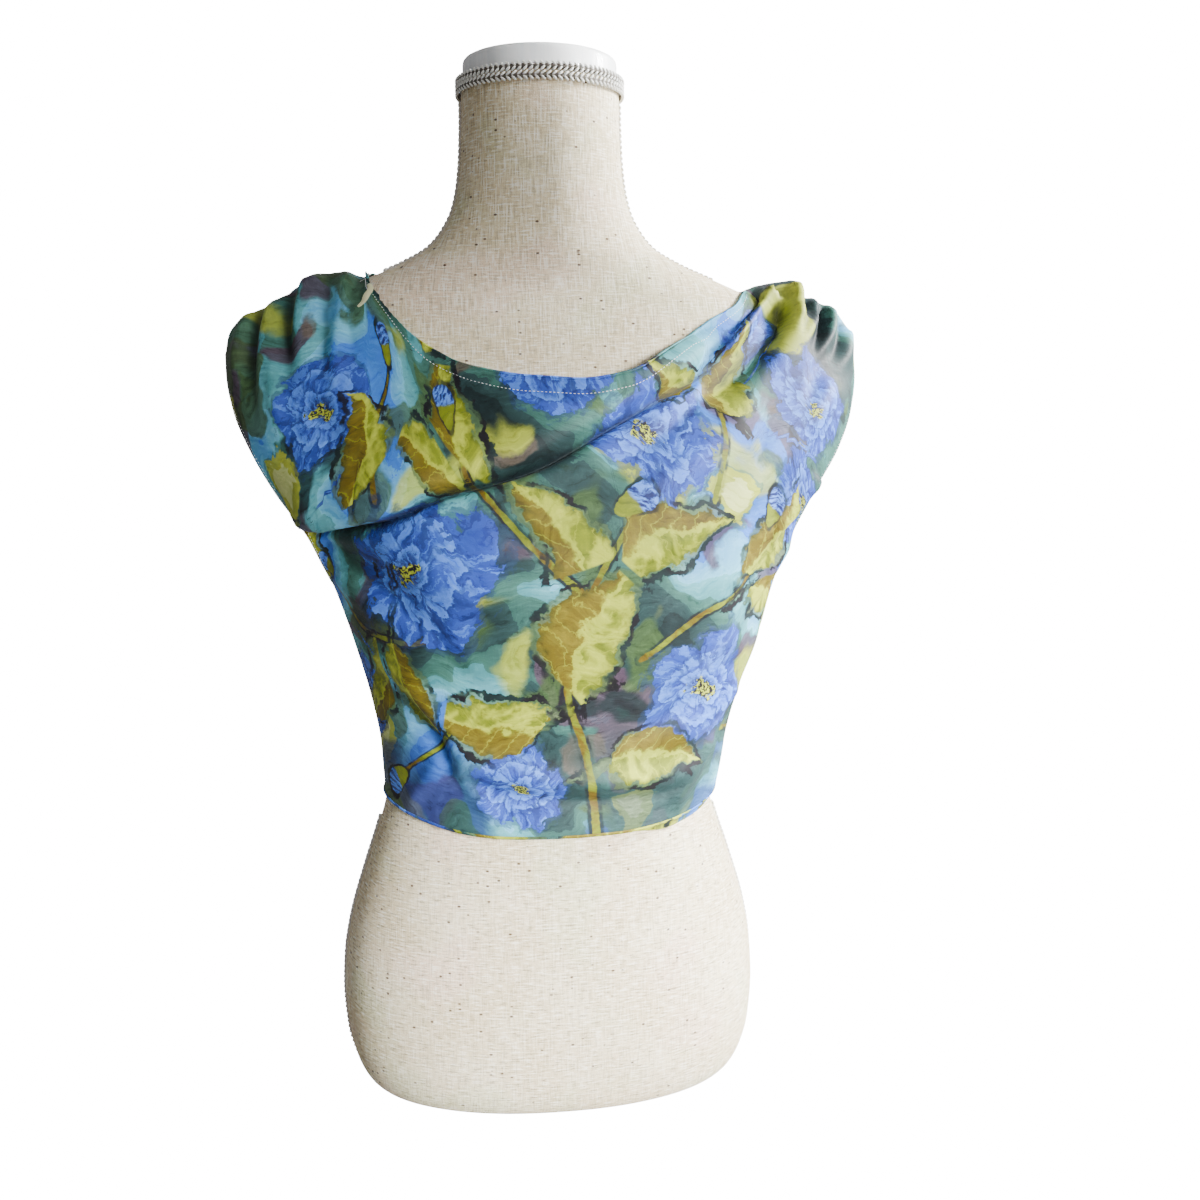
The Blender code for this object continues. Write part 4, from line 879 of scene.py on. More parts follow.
# Folds, as seen from the front: the crest's points (x, z), reach to the right and left of its run,
# height (less than 0 is a trough), sag, how much each end fades, and where not plain, sharpness and the cloth it hides.
plainFold = (2.0, 0.0)
frontFolds = [
    # the cowl's swag from the right shoulder across to the left armhole: its roll, and the crease below it
    ([(0.176, 0.640), (0.120, 0.608), (0.066, 0.580), (0.026, 0.558), (-0.013, 0.537), (-0.050, 0.524),
      (-0.090, 0.514), (-0.130, 0.494), (-0.180, 0.484), (-0.226, 0.484)],
     0.036, 0.013, 0.0100, 0.0050, 0.10, 0.14),
    ([(0.150, 0.612), (0.107, 0.585), (0.060, 0.561), (0.026, 0.543), (-0.013, 0.522), (-0.050, 0.509),
      (-0.090, 0.498), (-0.130, 0.478), (-0.180, 0.467), (-0.214, 0.464)],
     0.015, 0.0052, -0.0080, 0.0, 0.10, 0.10, 1.7, 0.012),
    ([(-0.185, 0.462), (-0.159, 0.446), (-0.130, 0.428), (-0.109, 0.403), (-0.094, 0.372)],
     0.010, 0.014, -0.0040, 0.0, 0.10, 0.50, 1.6, 0.004),
    ([(-0.172, 0.440), (-0.140, 0.412), (-0.120, 0.380)], 0.012, 0.012, 0.0030, 0.001, 0.15, 0.50),
    # rolls up to the right neck point, with the deep hollow under them
    ([(0.176, 0.651), (0.150, 0.628), (0.135, 0.615), (0.115, 0.604), (0.099, 0.596)],
     0.005, 0.004, -0.0042, 0.0, 0.05, 0.45, 1.6, 0.005),
    ([(0.186, 0.655), (0.168, 0.636), (0.147, 0.620), (0.131, 0.610), (0.110, 0.599)],
     0.006, 0.008, 0.0075, 0.0015, 0.02, 0.45),
    ([(0.193, 0.650), (0.166, 0.617), (0.147, 0.600), (0.129, 0.585), (0.104, 0.567)],
     0.007, 0.015, -0.0090, 0.0, 0.08, 0.32, 1.6, 0.012),
    ([(0.206, 0.648), (0.186, 0.613), (0.163, 0.590), (0.140, 0.571), (0.110, 0.552)],
     0.010, 0.020, 0.0050, 0.001, 0.08, 0.50),
    # crinkled gathers at the right shoulder
    ([(0.208, 0.661), (0.204, 0.640), (0.193, 0.612)], 0.006, 0.006, 0.0036, 0.0, 0.0, 0.60),
    ([(0.217, 0.656), (0.209, 0.634), (0.200, 0.616)], 0.0045, 0.0045, -0.0034, 0.0, 0.0, 0.60, 1.6, 0.002),
    ([(0.225, 0.651), (0.216, 0.632), (0.206, 0.616)], 0.005, 0.005, 0.0034, 0.0, 0.0, 0.60),
    ([(0.232, 0.646), (0.223, 0.624), (0.208, 0.604)], 0.0045, 0.0045, -0.0034, 0.0, 0.0, 0.60, 1.6, 0.002),
    ([(0.239, 0.643), (0.233, 0.624), (0.218, 0.606), (0.200, 0.590)], 0.006, 0.006, 0.0036, 0.0, 0.0, 0.60),
    ([(0.247, 0.632), (0.239, 0.612), (0.224, 0.596)], 0.005, 0.006, -0.0032, 0.0, 0.0, 0.60, 1.5, 0.003),
    ([(0.253, 0.622), (0.246, 0.604), (0.230, 0.586)], 0.006, 0.008, 0.0028, 0.0, 0.0, 0.60),
    ([(0.230, 0.588), (0.212, 0.560), (0.176, 0.526)], 0.012, 0.016, 0.0030, 0.0, 0.25, 0.50),
    # long soft drags that run with the first swag
    ([(0.176, 0.586), (0.120, 0.538), (0.060, 0.500), (-0.010, 0.484)], 0.014, 0.018, 0.0030, 0.001, 0.25, 0.45),
    ([(0.200, 0.548), (0.140, 0.498), (0.080, 0.462), (0.010, 0.446)], 0.016, 0.014, 0.0026, 0.001, 0.20, 0.45),
    ([(0.188, 0.520), (0.130, 0.470), (0.070, 0.432)], 0.010, 0.010, -0.0020, 0.0, 0.25, 0.45),
    ([(0.130, 0.582), (0.070, 0.536), (0.020, 0.516)], 0.008, 0.008, -0.0018, 0.0, 0.3, 0.5),
    # small folds where the front meets the right armhole
    ([(0.216, 0.506), (0.198, 0.486), (0.176, 0.466), (0.150, 0.452)], 0.010, 0.007, 0.0046, 0.0, 0.04, 0.55),
    ([(0.212, 0.494), (0.192, 0.474), (0.170, 0.456)], 0.005, 0.007, -0.0040, 0.0, 0.04, 0.50, 1.4, 0.004),
    ([(0.204, 0.464), (0.188, 0.446), (0.166, 0.420), (0.142, 0.390)], 0.010, 0.008, 0.0036, 0.0, 0.06, 0.50),
    ([(0.196, 0.446), (0.178, 0.424), (0.158, 0.396)], 0.006, 0.006, -0.0026, 0.0, 0.08, 0.50, 1.5, 0.003),
    # pleats at the left shoulder, each with one steep side and the hollow that it hides
    ([(-0.212, 0.650), (-0.216, 0.628), (-0.218, 0.600), (-0.218, 0.572), (-0.217, 0.535)],
     0.005, 0.018, 0.0042, 0.0, 0.0, 0.50, 2.0, 0.010),
    ([(-0.222, 0.642), (-0.226, 0.616), (-0.226, 0.585), (-0.224, 0.550)],
     0.010, 0.005, -0.0022, 0.0, 0.0, 0.45, 1.6, 0.0),
    ([(-0.184, 0.664), (-0.188, 0.640), (-0.190, 0.615), (-0.187, 0.588)],
     0.005, 0.018, 0.0050, 0.0, 0.0, 0.50, 2.0, 0.008),
    ([(-0.198, 0.656), (-0.200, 0.630), (-0.199, 0.600), (-0.196, 0.570)],
     0.009, 0.006, -0.0034, 0.0, 0.0, 0.45, 1.6, 0.0),
    ([(-0.156, 0.668), (-0.159, 0.634), (-0.163, 0.600), (-0.162, 0.566)],
     0.004, 0.011, 0.0036, 0.0, 0.0, 0.50, 2.0, 0.008),
    ([(-0.168, 0.664), (-0.170, 0.634), (-0.172, 0.602), (-0.168, 0.574)],
     0.008, 0.005, -0.0030, 0.0, 0.0, 0.50, 1.7, 0.0),
    ([(-0.234, 0.634), (-0.240, 0.604), (-0.240, 0.570)], 0.006, 0.007, 0.0030, 0.0, 0.0, 0.50),
    ([(-0.206, 0.606), (-0.206, 0.570), (-0.202, 0.530)], 0.008, 0.008, 0.0030, 0.0, 0.25, 0.45),
    ([(-0.184, 0.590), (-0.168, 0.552), (-0.150, 0.524)], 0.012, 0.012, -0.0024, 0.0, 0.30, 0.45),
    # drags above the waist, and the soft roll across it
    ([(-0.150, 0.364), (-0.112, 0.330), (-0.088, 0.298), (-0.080, 0.262)],
     0.011, 0.010, -0.0042, 0.0, 0.25, 0.35, 1.7, 0.0),
    ([(-0.130, 0.366), (-0.092, 0.326), (-0.072, 0.296)], 0.012, 0.012, 0.0028, 0.0, 0.25, 0.35),
    ([(-0.096, 0.306), (-0.060, 0.291), (-0.020, 0.281), (0.030, 0.276), (0.084, 0.275), (0.132, 0.280)],
     0.020, 0.012, 0.0048, 0.0015, 0.15, 0.20),
    ([(-0.100, 0.286), (-0.050, 0.272), (0.010, 0.263), (0.070, 0.262), (0.120, 0.268)],
     0.010, 0.012, -0.0030, 0.0, 0.20, 0.25, 1.7, 0.003),
    ([(-0.088, 0.296), (-0.104, 0.268), (-0.122, 0.240)], 0.008, 0.008, 0.0024, 0.0, 0.15, 0.30),
    ([(-0.080, 0.290), (-0.062, 0.262), (-0.046, 0.240)], 0.008, 0.010, 0.0022, 0.0, 0.15, 0.30),
    ([(0.152, 0.380), (0.110, 0.340), (0.060, 0.314), (0.010, 0.304)], 0.016, 0.014, -0.0034, 0.0, 0.20, 0.45),
    ([(0.156, 0.344), (0.116, 0.314), (0.070, 0.298)], 0.014, 0.012, 0.0032, 0.001, 0.15, 0.45),
    ([(0.134, 0.300), (0.106, 0.270), (0.090, 0.242)], 0.010, 0.010, 0.0026, 0.0, 0.20, 0.30),
    ([(0.148, 0.408), (0.110, 0.380), (0.050, 0.352)], 0.014, 0.014, 0.0022, 0.0, 0.25, 0.45),
    # shallow folds from the bust
    ([(-0.120, 0.452), (-0.070, 0.430), (-0.020, 0.428)], 0.016, 0.016, 0.0020, 0.0, 0.3, 0.4),
    ([(-0.060, 0.480), (-0.010, 0.462), (0.040, 0.470)], 0.012, 0.012, -0.0018, 0.0, 0.3, 0.4),
    ([(-0.100, 0.420), (-0.082, 0.372), (-0.040, 0.338)], 0.012, 0.012, -0.0020, 0.0, 0.3, 0.4),
    ([(0.090, 0.430), (0.060, 0.380), (0.000, 0.350)], 0.016, 0.014, 0.0020, 0.0, 0.3, 0.4),
    # the hollow under the neck edge, at the right
    ([(0.100, 0.596), (0.060, 0.578), (0.010, 0.570), (-0.050, 0.580)], 0.008, 0.010, -0.0016, 0.0, 0.2, 0.4),
]
backFolds = [
    ([(-0.190, 0.660), (-0.176, 0.590), (-0.142, 0.520)], 0.012, 0.014, 0.0050, 0.0, 0.03, 0.50),
    ([(-0.203, 0.656), (-0.194, 0.596), (-0.166, 0.520)], 0.008, 0.006, -0.0042, 0.0, 0.03, 0.50, 1.5, 0.003),
    ([(-0.222, 0.640), (-0.215, 0.580), (-0.190, 0.506)], 0.012, 0.012, 0.0050, 0.0, 0.03, 0.50),
    ([(-0.160, 0.670), (-0.150, 0.610), (-0.120, 0.556)], 0.009, 0.009, 0.0036, 0.0, 0.03, 0.55),
    ([(-0.172, 0.666), (-0.162, 0.620), (-0.140, 0.570)], 0.005, 0.005, -0.0028, 0.0, 0.03, 0.50, 1.5, 0.0),
    ([(0.190, 0.662), (0.178, 0.590), (0.142, 0.515)], 0.014, 0.012, 0.0050, 0.0, 0.03, 0.50),
    ([(0.206, 0.660), (0.198, 0.600), (0.168, 0.530)], 0.006, 0.008, -0.0042, 0.0, 0.03, 0.50, 1.5, 0.003),
    ([(0.226, 0.648), (0.220, 0.580), (0.190, 0.506)], 0.012, 0.012, 0.0050, 0.0, 0.03, 0.50),
    ([(0.176, 0.660), (0.158, 0.600), (0.120, 0.548)], 0.006, 0.008, -0.0030, 0.0, 0.03, 0.55, 1.7, 0.0),
    ([(0.241, 0.636), (0.236, 0.590), (0.216, 0.530)], 0.006, 0.006, -0.0030, 0.0, 0.03, 0.50, 1.6, 0.0),
    # soft swags across the upper back
    ([(-0.116, 0.634), (-0.066, 0.596), (0.004, 0.580), (0.070, 0.594), (0.126, 0.632)],
     0.014, 0.022, 0.0042, 0.0015, 0.25, 0.25),
    ([(-0.140, 0.580), (-0.070, 0.546), (0.010, 0.530), (0.080, 0.548), (0.150, 0.590)],
     0.014, 0.014, -0.0030, 0.0, 0.25, 0.25, 1.8, 0.0),
    ([(-0.150, 0.548), (-0.070, 0.512), (0.020, 0.502), (0.100, 0.520)], 0.016, 0.022, 0.0030, 0.001, 0.25, 0.30),
    # folds down into the small of the back
    ([(-0.158, 0.410), (-0.110, 0.366), (-0.050, 0.336), (0.050, 0.322)], 0.018, 0.022, 0.0058, 0.002, 0.20, 0.35),
    ([(-0.150, 0.384), (-0.100, 0.344), (-0.040, 0.318), (0.030, 0.308)],
     0.010, 0.010, -0.0040, 0.0, 0.20, 0.35, 1.6, 0.004),
    ([(0.164, 0.384), (0.110, 0.330), (0.050, 0.300), (-0.040, 0.284)], 0.020, 0.018, 0.0050, 0.0015, 0.20, 0.35),
    ([(0.156, 0.352), (0.100, 0.306), (0.040, 0.282), (-0.030, 0.270)],
     0.010, 0.012, -0.0034, 0.0, 0.20, 0.35, 1.6, 0.003),
    ([(0.170, 0.430), (0.120, 0.400), (0.060, 0.386)], 0.014, 0.016, 0.0030, 0.0, 0.20, 0.50),
    ([(-0.168, 0.448), (-0.120, 0.424), (-0.060, 0.416)], 0.014, 0.016, -0.0028, 0.0, 0.20, 0.50),
    ([(-0.060, 0.300), (-0.082, 0.270), (-0.096, 0.242)], 0.010, 0.010, 0.0030, 0.0, 0.20, 0.25),
    ([(0.020, 0.290), (0.030, 0.266), (0.034, 0.240)], 0.010, 0.012, -0.0026, 0.0, 0.20, 0.25),
    ([(0.100, 0.296), (0.112, 0.268), (0.120, 0.242)], 0.012, 0.010, 0.0030, 0.0, 0.20, 0.25),
    ([(-0.020, 0.480), (-0.026, 0.430), (-0.016, 0.380)], 0.020, 0.020, -0.0024, 0.0, 0.35, 0.35),
    ([(0.110, 0.500), (0.104, 0.450), (0.080, 0.404)], 0.016, 0.016, 0.0022, 0.0, 0.35, 0.35),
]


def topEdge(u, neckRows, y):
    share = clothSettings["neckShare"]
    line = np.zeros((len(u), 3))
    leftPart, rightPart = u <= -share + 1e-9, u >= share - 1e-9
    for part, rows, along in ((leftPart, leftShoulder, (u + 1) / (1 - share)),
                              (rightPart, rightShoulder, (1 - u) / (1 - share))):
        line[part, 0] = readTable(rows, 1, along[part])
        line[part, 1] = y
        line[part, 2] = readTable(rows, 2, along[part])
    neck = ~(leftPart | rightPart)
    across = (u[neck] + share) / (2 * share)
    for k in range(3):
        line[neck, k] = readTable(neckRows, k + 1, across)
    return line


def applyFold(fold, x, z, edgeFade):
    points, right, left, height, sag, fadeStart, fadeEnd, power, hidden = fold + plainFold[len(fold) - 7:]
    side, gap, place = besideLine(x, z, smoothLine(points, 24))
    ends = ease(0.0, fadeStart + 0.001, place + 0.001) * ease(0.0, fadeEnd, 1.001 - place)
    slope = np.exp(-clothSettings["foldFall"] * (gap / np.where(side > 0, right, left)) ** power)
    lift = slope * ends * height * edgeFade
    runX, runZ = unit(np.subtract(points[-1], points[0]))
    near = 1 - ease(*clothSettings["tuckReach"], gap)
    tuck = (ease(-0.003, 0.003, side) * ends * near * hidden)[..., None] * np.array([runZ, -runX])
    return lift, lift * sag / height, tuck


def offTheForm(spots, clearance):
    # pushes places out until they stand clear of the form
    for j in range(spots.shape[0]):
        for i in range(spots.shape[1]):
            here = Vector(spots[j, i])
            near, normal, _, apart = formTree.find_nearest(here)
            depth = -apart if (here - near).dot(normal) < 0 else apart
            if depth < clearance[j, i]:
                spots[j, i] += np.array(normal) * (clearance[j, i] - depth)
    return spots


def calmed(grid, times):
    calm = grid.copy()
    for _ in range(times):
        calm[1:-1, 1:-1] = (calm[1:-1, 1:-1] * 2 + calm[:-2, 1:-1] + calm[2:, 1:-1]
                            + calm[1:-1, :-2] + calm[1:-1, 2:]) / 6
    return calm


def hangPanel(face, neckRows, folds):
    # middle surface of a panel with its folds; face is -1 at the front and 1 at the back
    size = clothSettings
    u, v = np.linspace(-1, 1, size["columns"] + 1), np.linspace(0, 1, size["rows"] + 1)
    top = topEdge(u, neckRows, face * size["seamGap"] / 2)
    hemMiddle = size["hem"][0 if face < 0 else 1]
    hemZ = hemMiddle + (np.where(u < 0, size["hem"][2], size["hem"][3]) - hemMiddle) * ease(0.2, 1.0, np.abs(u))
    past = np.clip((v[:, None] - size["rollFrom"]) / (1 - size["rollFrom"]), 0, 1)
    crowded = np.where(past > 0, size["rollFrom"] + (1 - size["rollFrom"]) * np.sin(past * math.pi / 2), v[:, None])
    atShoulder = ease(*size["gatherFrom"], np.abs(u))[None, :]
    up = v[:, None] * (1 - atShoulder) + crowded * atShoulder
    z = hemZ + (top[:, 2] - hemZ) * up
    reach = np.where(u < 0, readTable(sideRows, 1, z[:, 0])[:, None],
                     readTable(sideRows, 3 if face < 0 else 2, z[:, -1])[:, None])
    topShare = top[:, 0] / np.where(u < 0, -top[0, 0], top[-1, 0])
    blend = ease(size["narrowFrom"], 1.0, up)
    share = np.sin(u * math.pi / 2) * (1 - blend) + topShare * blend
    start = np.where(u < 0, (size["underarms"][0] - hemZ[0]) / (top[0, 2] - hemZ[0]),
                     (size["underarms"][1] - hemZ[-1]) / (top[-1, 2] - hemZ[-1]))
    rise = np.clip((up - start) / (1 - start), 0, 1)
    edgeY = size["swing"] * np.sin(math.pi * rise) + size["seamGap"] / 2
    depth = readTable(depthRows, 1 if face < 0 else 2, z)
    y = face * (edgeY + (depth - edgeY) * np.sqrt(np.clip(1 - share ** 2, 0, 1)))
    roll = np.sqrt(1 - np.clip((up - size["rollFrom"]) / (1 - size["rollFrom"]), 0, 1) ** 2)
    y = top[:, 1] + (y - top[:, 1]) * roll
    spots = np.stack([share * reach, y, z], axis=-1)

    edgeFade = ease(0.0, size["calmEdge"], 1 - np.abs(u))[None, :]
    normals = gridNormals(spots) * -face
    lift, sag, tuck = np.zeros(z.shape), np.zeros(z.shape), np.zeros(z.shape + (2,))
    for fold in folds:
        for total, part in zip((lift, sag, tuck), applyFold(fold, spots[..., 0], z, edgeFade)):
            total += part
    lift, sag = lift * size["foldHeight"], sag * size["foldHeight"]
    nearSeam = np.where(np.abs(u)[None, :] > size["neckShare"], ease(0.0, 0.02, 1 - up), 1.0)
    lift *= size["foldAtSeam"] + (1 - size["foldAtSeam"]) * nearSeam
    spots += normals * lift[..., None]
    spots[..., 2] -= sag
    spots += middle
    clearance = np.where((np.abs(u)[None, :] >= size["neckShare"]) & (up > 0.93), size["onShoulder"], size["offForm"])
    for _ in range(2):
        spots = offTheForm(spots, clearance)
    # how deep each place lies in a crease; the cloth's material paints shade there
    hollow = np.clip((calmed(lift, 14) - lift) / size["hollowDepth"], 0, 1)
    return u, hollow, spots, tuck


def squareSeams(face, u, spots):
    # side and shoulder seams meet the other panel along the plane between them
    size = clothSettings
    atSeam = np.zeros(spots.shape[:2], dtype=bool)
    atSeam[-1] = np.abs(u) >= size["neckShare"] - 1e-9
    atSeam[:, 0] |= spots[:, 0, 2] < size["underarms"][0]
    atSeam[:, -1] |= spots[:, -1, 2] < size["underarms"][1]
    away = np.where(atSeam, size["seamGap"] / 2, (size["seamGap"] + size["wall"]) / 2)
    beyond = np.maximum(face * (spots[..., 1] - axisY), away)
    spots[..., 1] = axisY + face * np.where(atSeam, size["seamGap"] / 2, beyond)


u, frontHollow, frontSpots, frontTuck = hangPanel(-1, frontNeck, frontFolds)
_, backHollow, backSpots, backTuck = hangPanel(1, backNeck, backFolds)
print("cloth hung")
shoulder = np.abs(u) >= clothSettings["neckShare"] - 1e-9
for key in (0, 2):  # both panels follow one line along each shoulder seam
    line = (frontSpots[-1, shoulder, key] + backSpots[-1, shoulder, key]) / 2
    frontSpots[-1, shoulder, key] = line
    backSpots[-1, shoulder, key] = line
squareSeams(-1, u, frontSpots)
squareSeams(1, u, backSpots)


def flatPlaces(spots, tuck, shift):
    # where each place lies on the flat cloth, in metres from the middle of the hem
    across = lengthAlong(spots, 1)
    across = across - across[:, across.shape[1] // 2:across.shape[1] // 2 + 1]
    return np.stack([across + shift, lengthAlong(spots, 0)], axis=-1) + tuck


def buildPanel(name, node, face, spots, hollow, tuck, shift):
    flat = flatPlaces(calmed(spots, 6), tuck, shift)  # so that small creases don't jog the print
    layers = printLayers(flat[..., 0], flat[..., 1])
    layers["hollow"] = np.repeat(hollow[..., None], 3, axis=-1)
    mesh = sheetMesh(name, spots, flat, layers, inward=face > 0)
    piece = addPiece(name, mesh, [clothRight, clothWrong], [node])
    wall = piece.modifiers.new("wall", "SOLIDIFY")
    wall.thickness = clothSettings["wall"]
    wall.offset = 0.0
    wall.material_offset = 1
    wall.material_offset_rim = 0
    return piece, flat, layers


frontPanel, frontFlat, frontLayers = buildPanel("frontPanel", "front_panel", -1,
                                                frontSpots, frontHollow, frontTuck, 0.0)
backPanel, backFlat, backLayers = buildPanel("backPanel", "back_panel", 1,
                                             backSpots, backHollow, backTuck, backShift)
frontNormals, backNormals = gridNormals(frontSpots), -gridNormals(backSpots)
print("panels built")

# Turned hems.

hemSettings = {
    "neckRows": 6, "waistRows": 6, "armColumns": 5,   # faces of the panel that each hem turns under
    "wall": 0.0005,
    "roll": 0.0009,                # radius of the fold at the edge
    "proud": 0.00042,              # the hem's rolled edge over the panel
    "lap": 0.0012,                 # how far it laps onto the panel
    "drop": 0.0065,                # the strip that hangs below the front waist at the right
    "stripFrom": (0.05, 0.255),    # the part of the print that this strip shows
}
rollAngles = np.radians([10, 50, 90, 130, 170])


def turnedHem(name, node, spots, normals, layers, flat, drop=None, flip=False):
    # the edge rolled over a fold and turned to the inside; row 0 of the places is the edge
    roll, proud = hemSettings["roll"], hemSettings["proud"]
    inward = unit(spots[1] - spots[0])
    normal = normals[0]
    drop = np.zeros(len(inward)) if drop is None else drop
    centre = spots[0] - normal * roll
    rows = [spots[0] + inward * hemSettings["lap"] + normal * proud]
    rows += [centre + normal * (roll + proud) * math.cos(a) - inward * (roll + 0.0004) * math.sin(a)
             for a in rollAngles]
    use = [1] + [0] * len(rollAngles)
    if drop.any():
        low = spots[0] - inward * drop[:, None] - normal * 3.4 * roll
        rows += [low + inward * 0.0004 + normal * 0.5 * roll, low - inward * 0.0007, low - normal * 0.9 * roll]
        use += [0, 1, 1]
    depth = (4.4 if drop.any() else 2.2) * roll
    rows += [spots[k] - normals[k] * depth for k in range(1, len(spots))]
    use += list(range(1, len(spots)))
    grid = np.stack(rows)
    rest = [min(k, len(spots) - 1) for k in use]
    own = {key: layer[rest] for key, layer in layers.items()}
    mesh = sheetMesh(name, grid, flat[rest], own, inward=flip)
    piece = addPiece(name, mesh, [clothRight], [node])
    wall = piece.modifiers.new("wall", "SOLIDIFY")
    wall.thickness = hemSettings["wall"]
    wall.offset = 0.0
    return piece


def edgeOf(word, which):
    # places, normals, print layers and flat places of one panel along an edge, the edge first
    spots, normals, layers, flat = {"front": (frontSpots, frontNormals, frontLayers, frontFlat),
                                    "back": (backSpots, backNormals, backLayers, backFlat)}[word]
    side = -1 if word == "front" else 1
    if which == "neck":
        inner = np.abs(u) <= clothSettings["neckShare"] - 0.025
        pick = lambda grid: grid[::-1][:hemSettings["neckRows"] + 1, inner]
        flip = side > 0
    elif which == "waist":
        pick = lambda grid: grid[:hemSettings["waistRows"] + 1]
        flip = side < 0
    else:
        start = clothSettings["underarms"][0 if which == "left" else 1]
        column = 0 if which == "left" else -1
        first = int(np.searchsorted(spots[:, column, 2], start)) + 1
        count = hemSettings["armColumns"] + 1
        if which == "left":
            pick = lambda grid: np.swapaxes(grid[first:-1, :count], 0, 1)
        else:
            pick = lambda grid: np.swapaxes(grid[first:-1, ::-1][:, :count], 0, 1)
        flip = (which == "left") == (side > 0)
    return pick(spots), pick(normals), {key: pick(layer) for key, layer in layers.items()}, pick(flat), flip


hems = {"front": [], "back": []}
for word in ("front", "back"):
    for which, name, node in (("neck", "neckHem", "neck_hem_"), ("waist", "waistHem", "hem_"),
                              ("left", "armholeHemLeft", "armhole_hem_"), ("right", "armholeHemRight", "armhole_hem_")):
        spots, normals, layers, flat, flip = edgeOf(word, which)
        drop = hemSettings["drop"] * ease(0.22, 0.45, u) if (which, word) == ("waist", "front") else None
        if drop is not None:  # its turned strip shows another part of the print
            flat = flat + hemSettings["stripFrom"]
            layers = {"hollow": layers["hollow"], **printLayers(flat[..., 0], flat[..., 1])}
        full = node + word + ("_" + which if which in ("left", "right") else "")
        hems[word].append(turnedHem(name + word.capitalize(), full, spots, normals, layers, flat, drop, flip))
print("hems built")

# Stitches and the shoulder ribbon.

stitchSettings = {"pitch": 0.0030, "length": 0.0019, "thick": 0.00027, "fromEdge": 0.0118, "armhole": 0.0062,
                  "lift": 0.0004}
threadWhite, w, shader = newMaterial("threadWhite", 0.5, Sheen_Weight=0.3)
place = w.add("TexCoord").outputs["Object"]
twist = w.noise(place, 2400.0, 1.0)
w.feed(shader["Base Color"], w.mix(w.ease(twist, 0.3, 0.7), paint(226, 232, 234), paint(250, 250, 248)))


def stitchLine(spots, normals):
    # short stitches that lie on the cloth along a line
    size = stitchSettings
    run = np.concatenate([[0.0], np.cumsum(np.linalg.norm(np.diff(spots, axis=0), axis=1))])
    beads = []
    for at in np.arange(size["pitch"], run[-1] - size["pitch"], size["pitch"]):
        here, before, after, normal = (np.array([np.interp(at + offset, run, table[:, k]) for k in range(3)])
                                       for offset, table in ((0, spots), (-size["length"] / 2, spots),
                                                             (size["length"] / 2, spots), (0, normals)))
        beads.append((here + normal * size["lift"], after - before, normal,
                      (size["length"] / 2, size["thick"], size["thick"] * 0.8)))
    return beads


def insetLine(spots, normals, distance):
    # the line that runs at a distance inside an edge
    run = lengthAlong(spots, 0)
    line = np.zeros(spots[0].shape)
    upward = np.zeros(spots[0].shape)
    for i in range(spots.shape[1]):
        for k in range(3):
            line[i, k] = np.interp(distance, run[:, i], spots[:, i, k])
            upward[i, k] = np.interp(distance, run[:, i], normals[:, i, k])
    return line, upward


for word in ("front", "back"):
    spots, normals, _, _, _ = edgeOf(word, "neck")
    sewn = stitchLine(*insetLine(spots, normals, stitchSettings["fromEdge"]))
    for which in ("left", "right"):
        spots, normals, _, _, _ = edgeOf(word, which)
        sewn += stitchLine(*insetLine(spots, normals, stitchSettings["armhole"]))
    addPiece("stitches" + word.capitalize(), beadMesh("stitches", sewn, 6), [threadWhite])

tabCream, w, shader = newMaterial("tabCream", 0.5, Sheen_Weight=0.3)
place = w.add("TexCoord").outputs["Object"]
ribs = w.add("TexWave", {"Vector": place, "Scale": 420.0, "Distortion": 1.0})
w.feed(shader["Base Color"], w.mix(ribs.outputs[1], paint(212, 208, 146), paint(238, 238, 196)))
w.feed(shader["Normal"], w.add("Bump", {"Strength": 0.3, "Distance": 0.0003, "Height": ribs.outputs[1]}).outputs[0])


def onFront(row, column, lift):
    # a place between the front panel's rows and columns, lifted off the cloth
    j, i = int(row), int(column)
    a, b = row - j, column - i
    parts = ((j, i, (1 - a) * (1 - b)), (j, i + 1, (1 - a) * b), (j + 1, i, a * (1 - b)), (j + 1, i + 1, a * b))
    spot = sum(frontSpots[y, x] * share for y, x, share in parts)
    return spot + frontNormals[j, i] * lift


# the ribbon end at the left neck point: rows and columns of the panel along its middle, its lift and half width
tabPath = [(141.5, 46.5, 0.0010, 0.0010), (143.0, 48.5, 0.0018, 0.0024), (149.0, 53.0, 0.0030, 0.0028),
           (157.0, 57.5, 0.0036, 0.0027), (164.0, 60.5, 0.0030, 0.0024), (169.0, 60.0, 0.0018, 0.0017)]


def buildTab():
    middles = np.array([onFront(row, column, lift) for row, column, lift, _ in tabPath])
    outward = np.array([frontNormals[int(row), int(column)] for row, column, _, _ in tabPath])
    aside = unit(np.cross(np.gradient(middles, axis=0), outward))
    rows = [[spot + side * half * across - normal * 0.0006 * across ** 2 for across in np.linspace(-1, 1, 5)]
            for spot, side, normal, (_, _, _, half) in zip(middles, aside, outward, tabPath)]
    spots = np.array(rows)
    flat = np.stack([lengthAlong(spots, 1), lengthAlong(spots, 0)], axis=-1)
    piece = addPiece("shoulderTab", sheetMesh("shoulderTab", spots, flat), [tabCream], ["shoulder_tab"])
    smoother = piece.modifiers.new("smooth", "SUBSURF")
    smoother.levels = smoother.render_levels = 2
    wall = piece.modifiers.new("wall", "SOLIDIFY")
    wall.thickness = 0.0006
    wall.offset = 0.0
    return piece


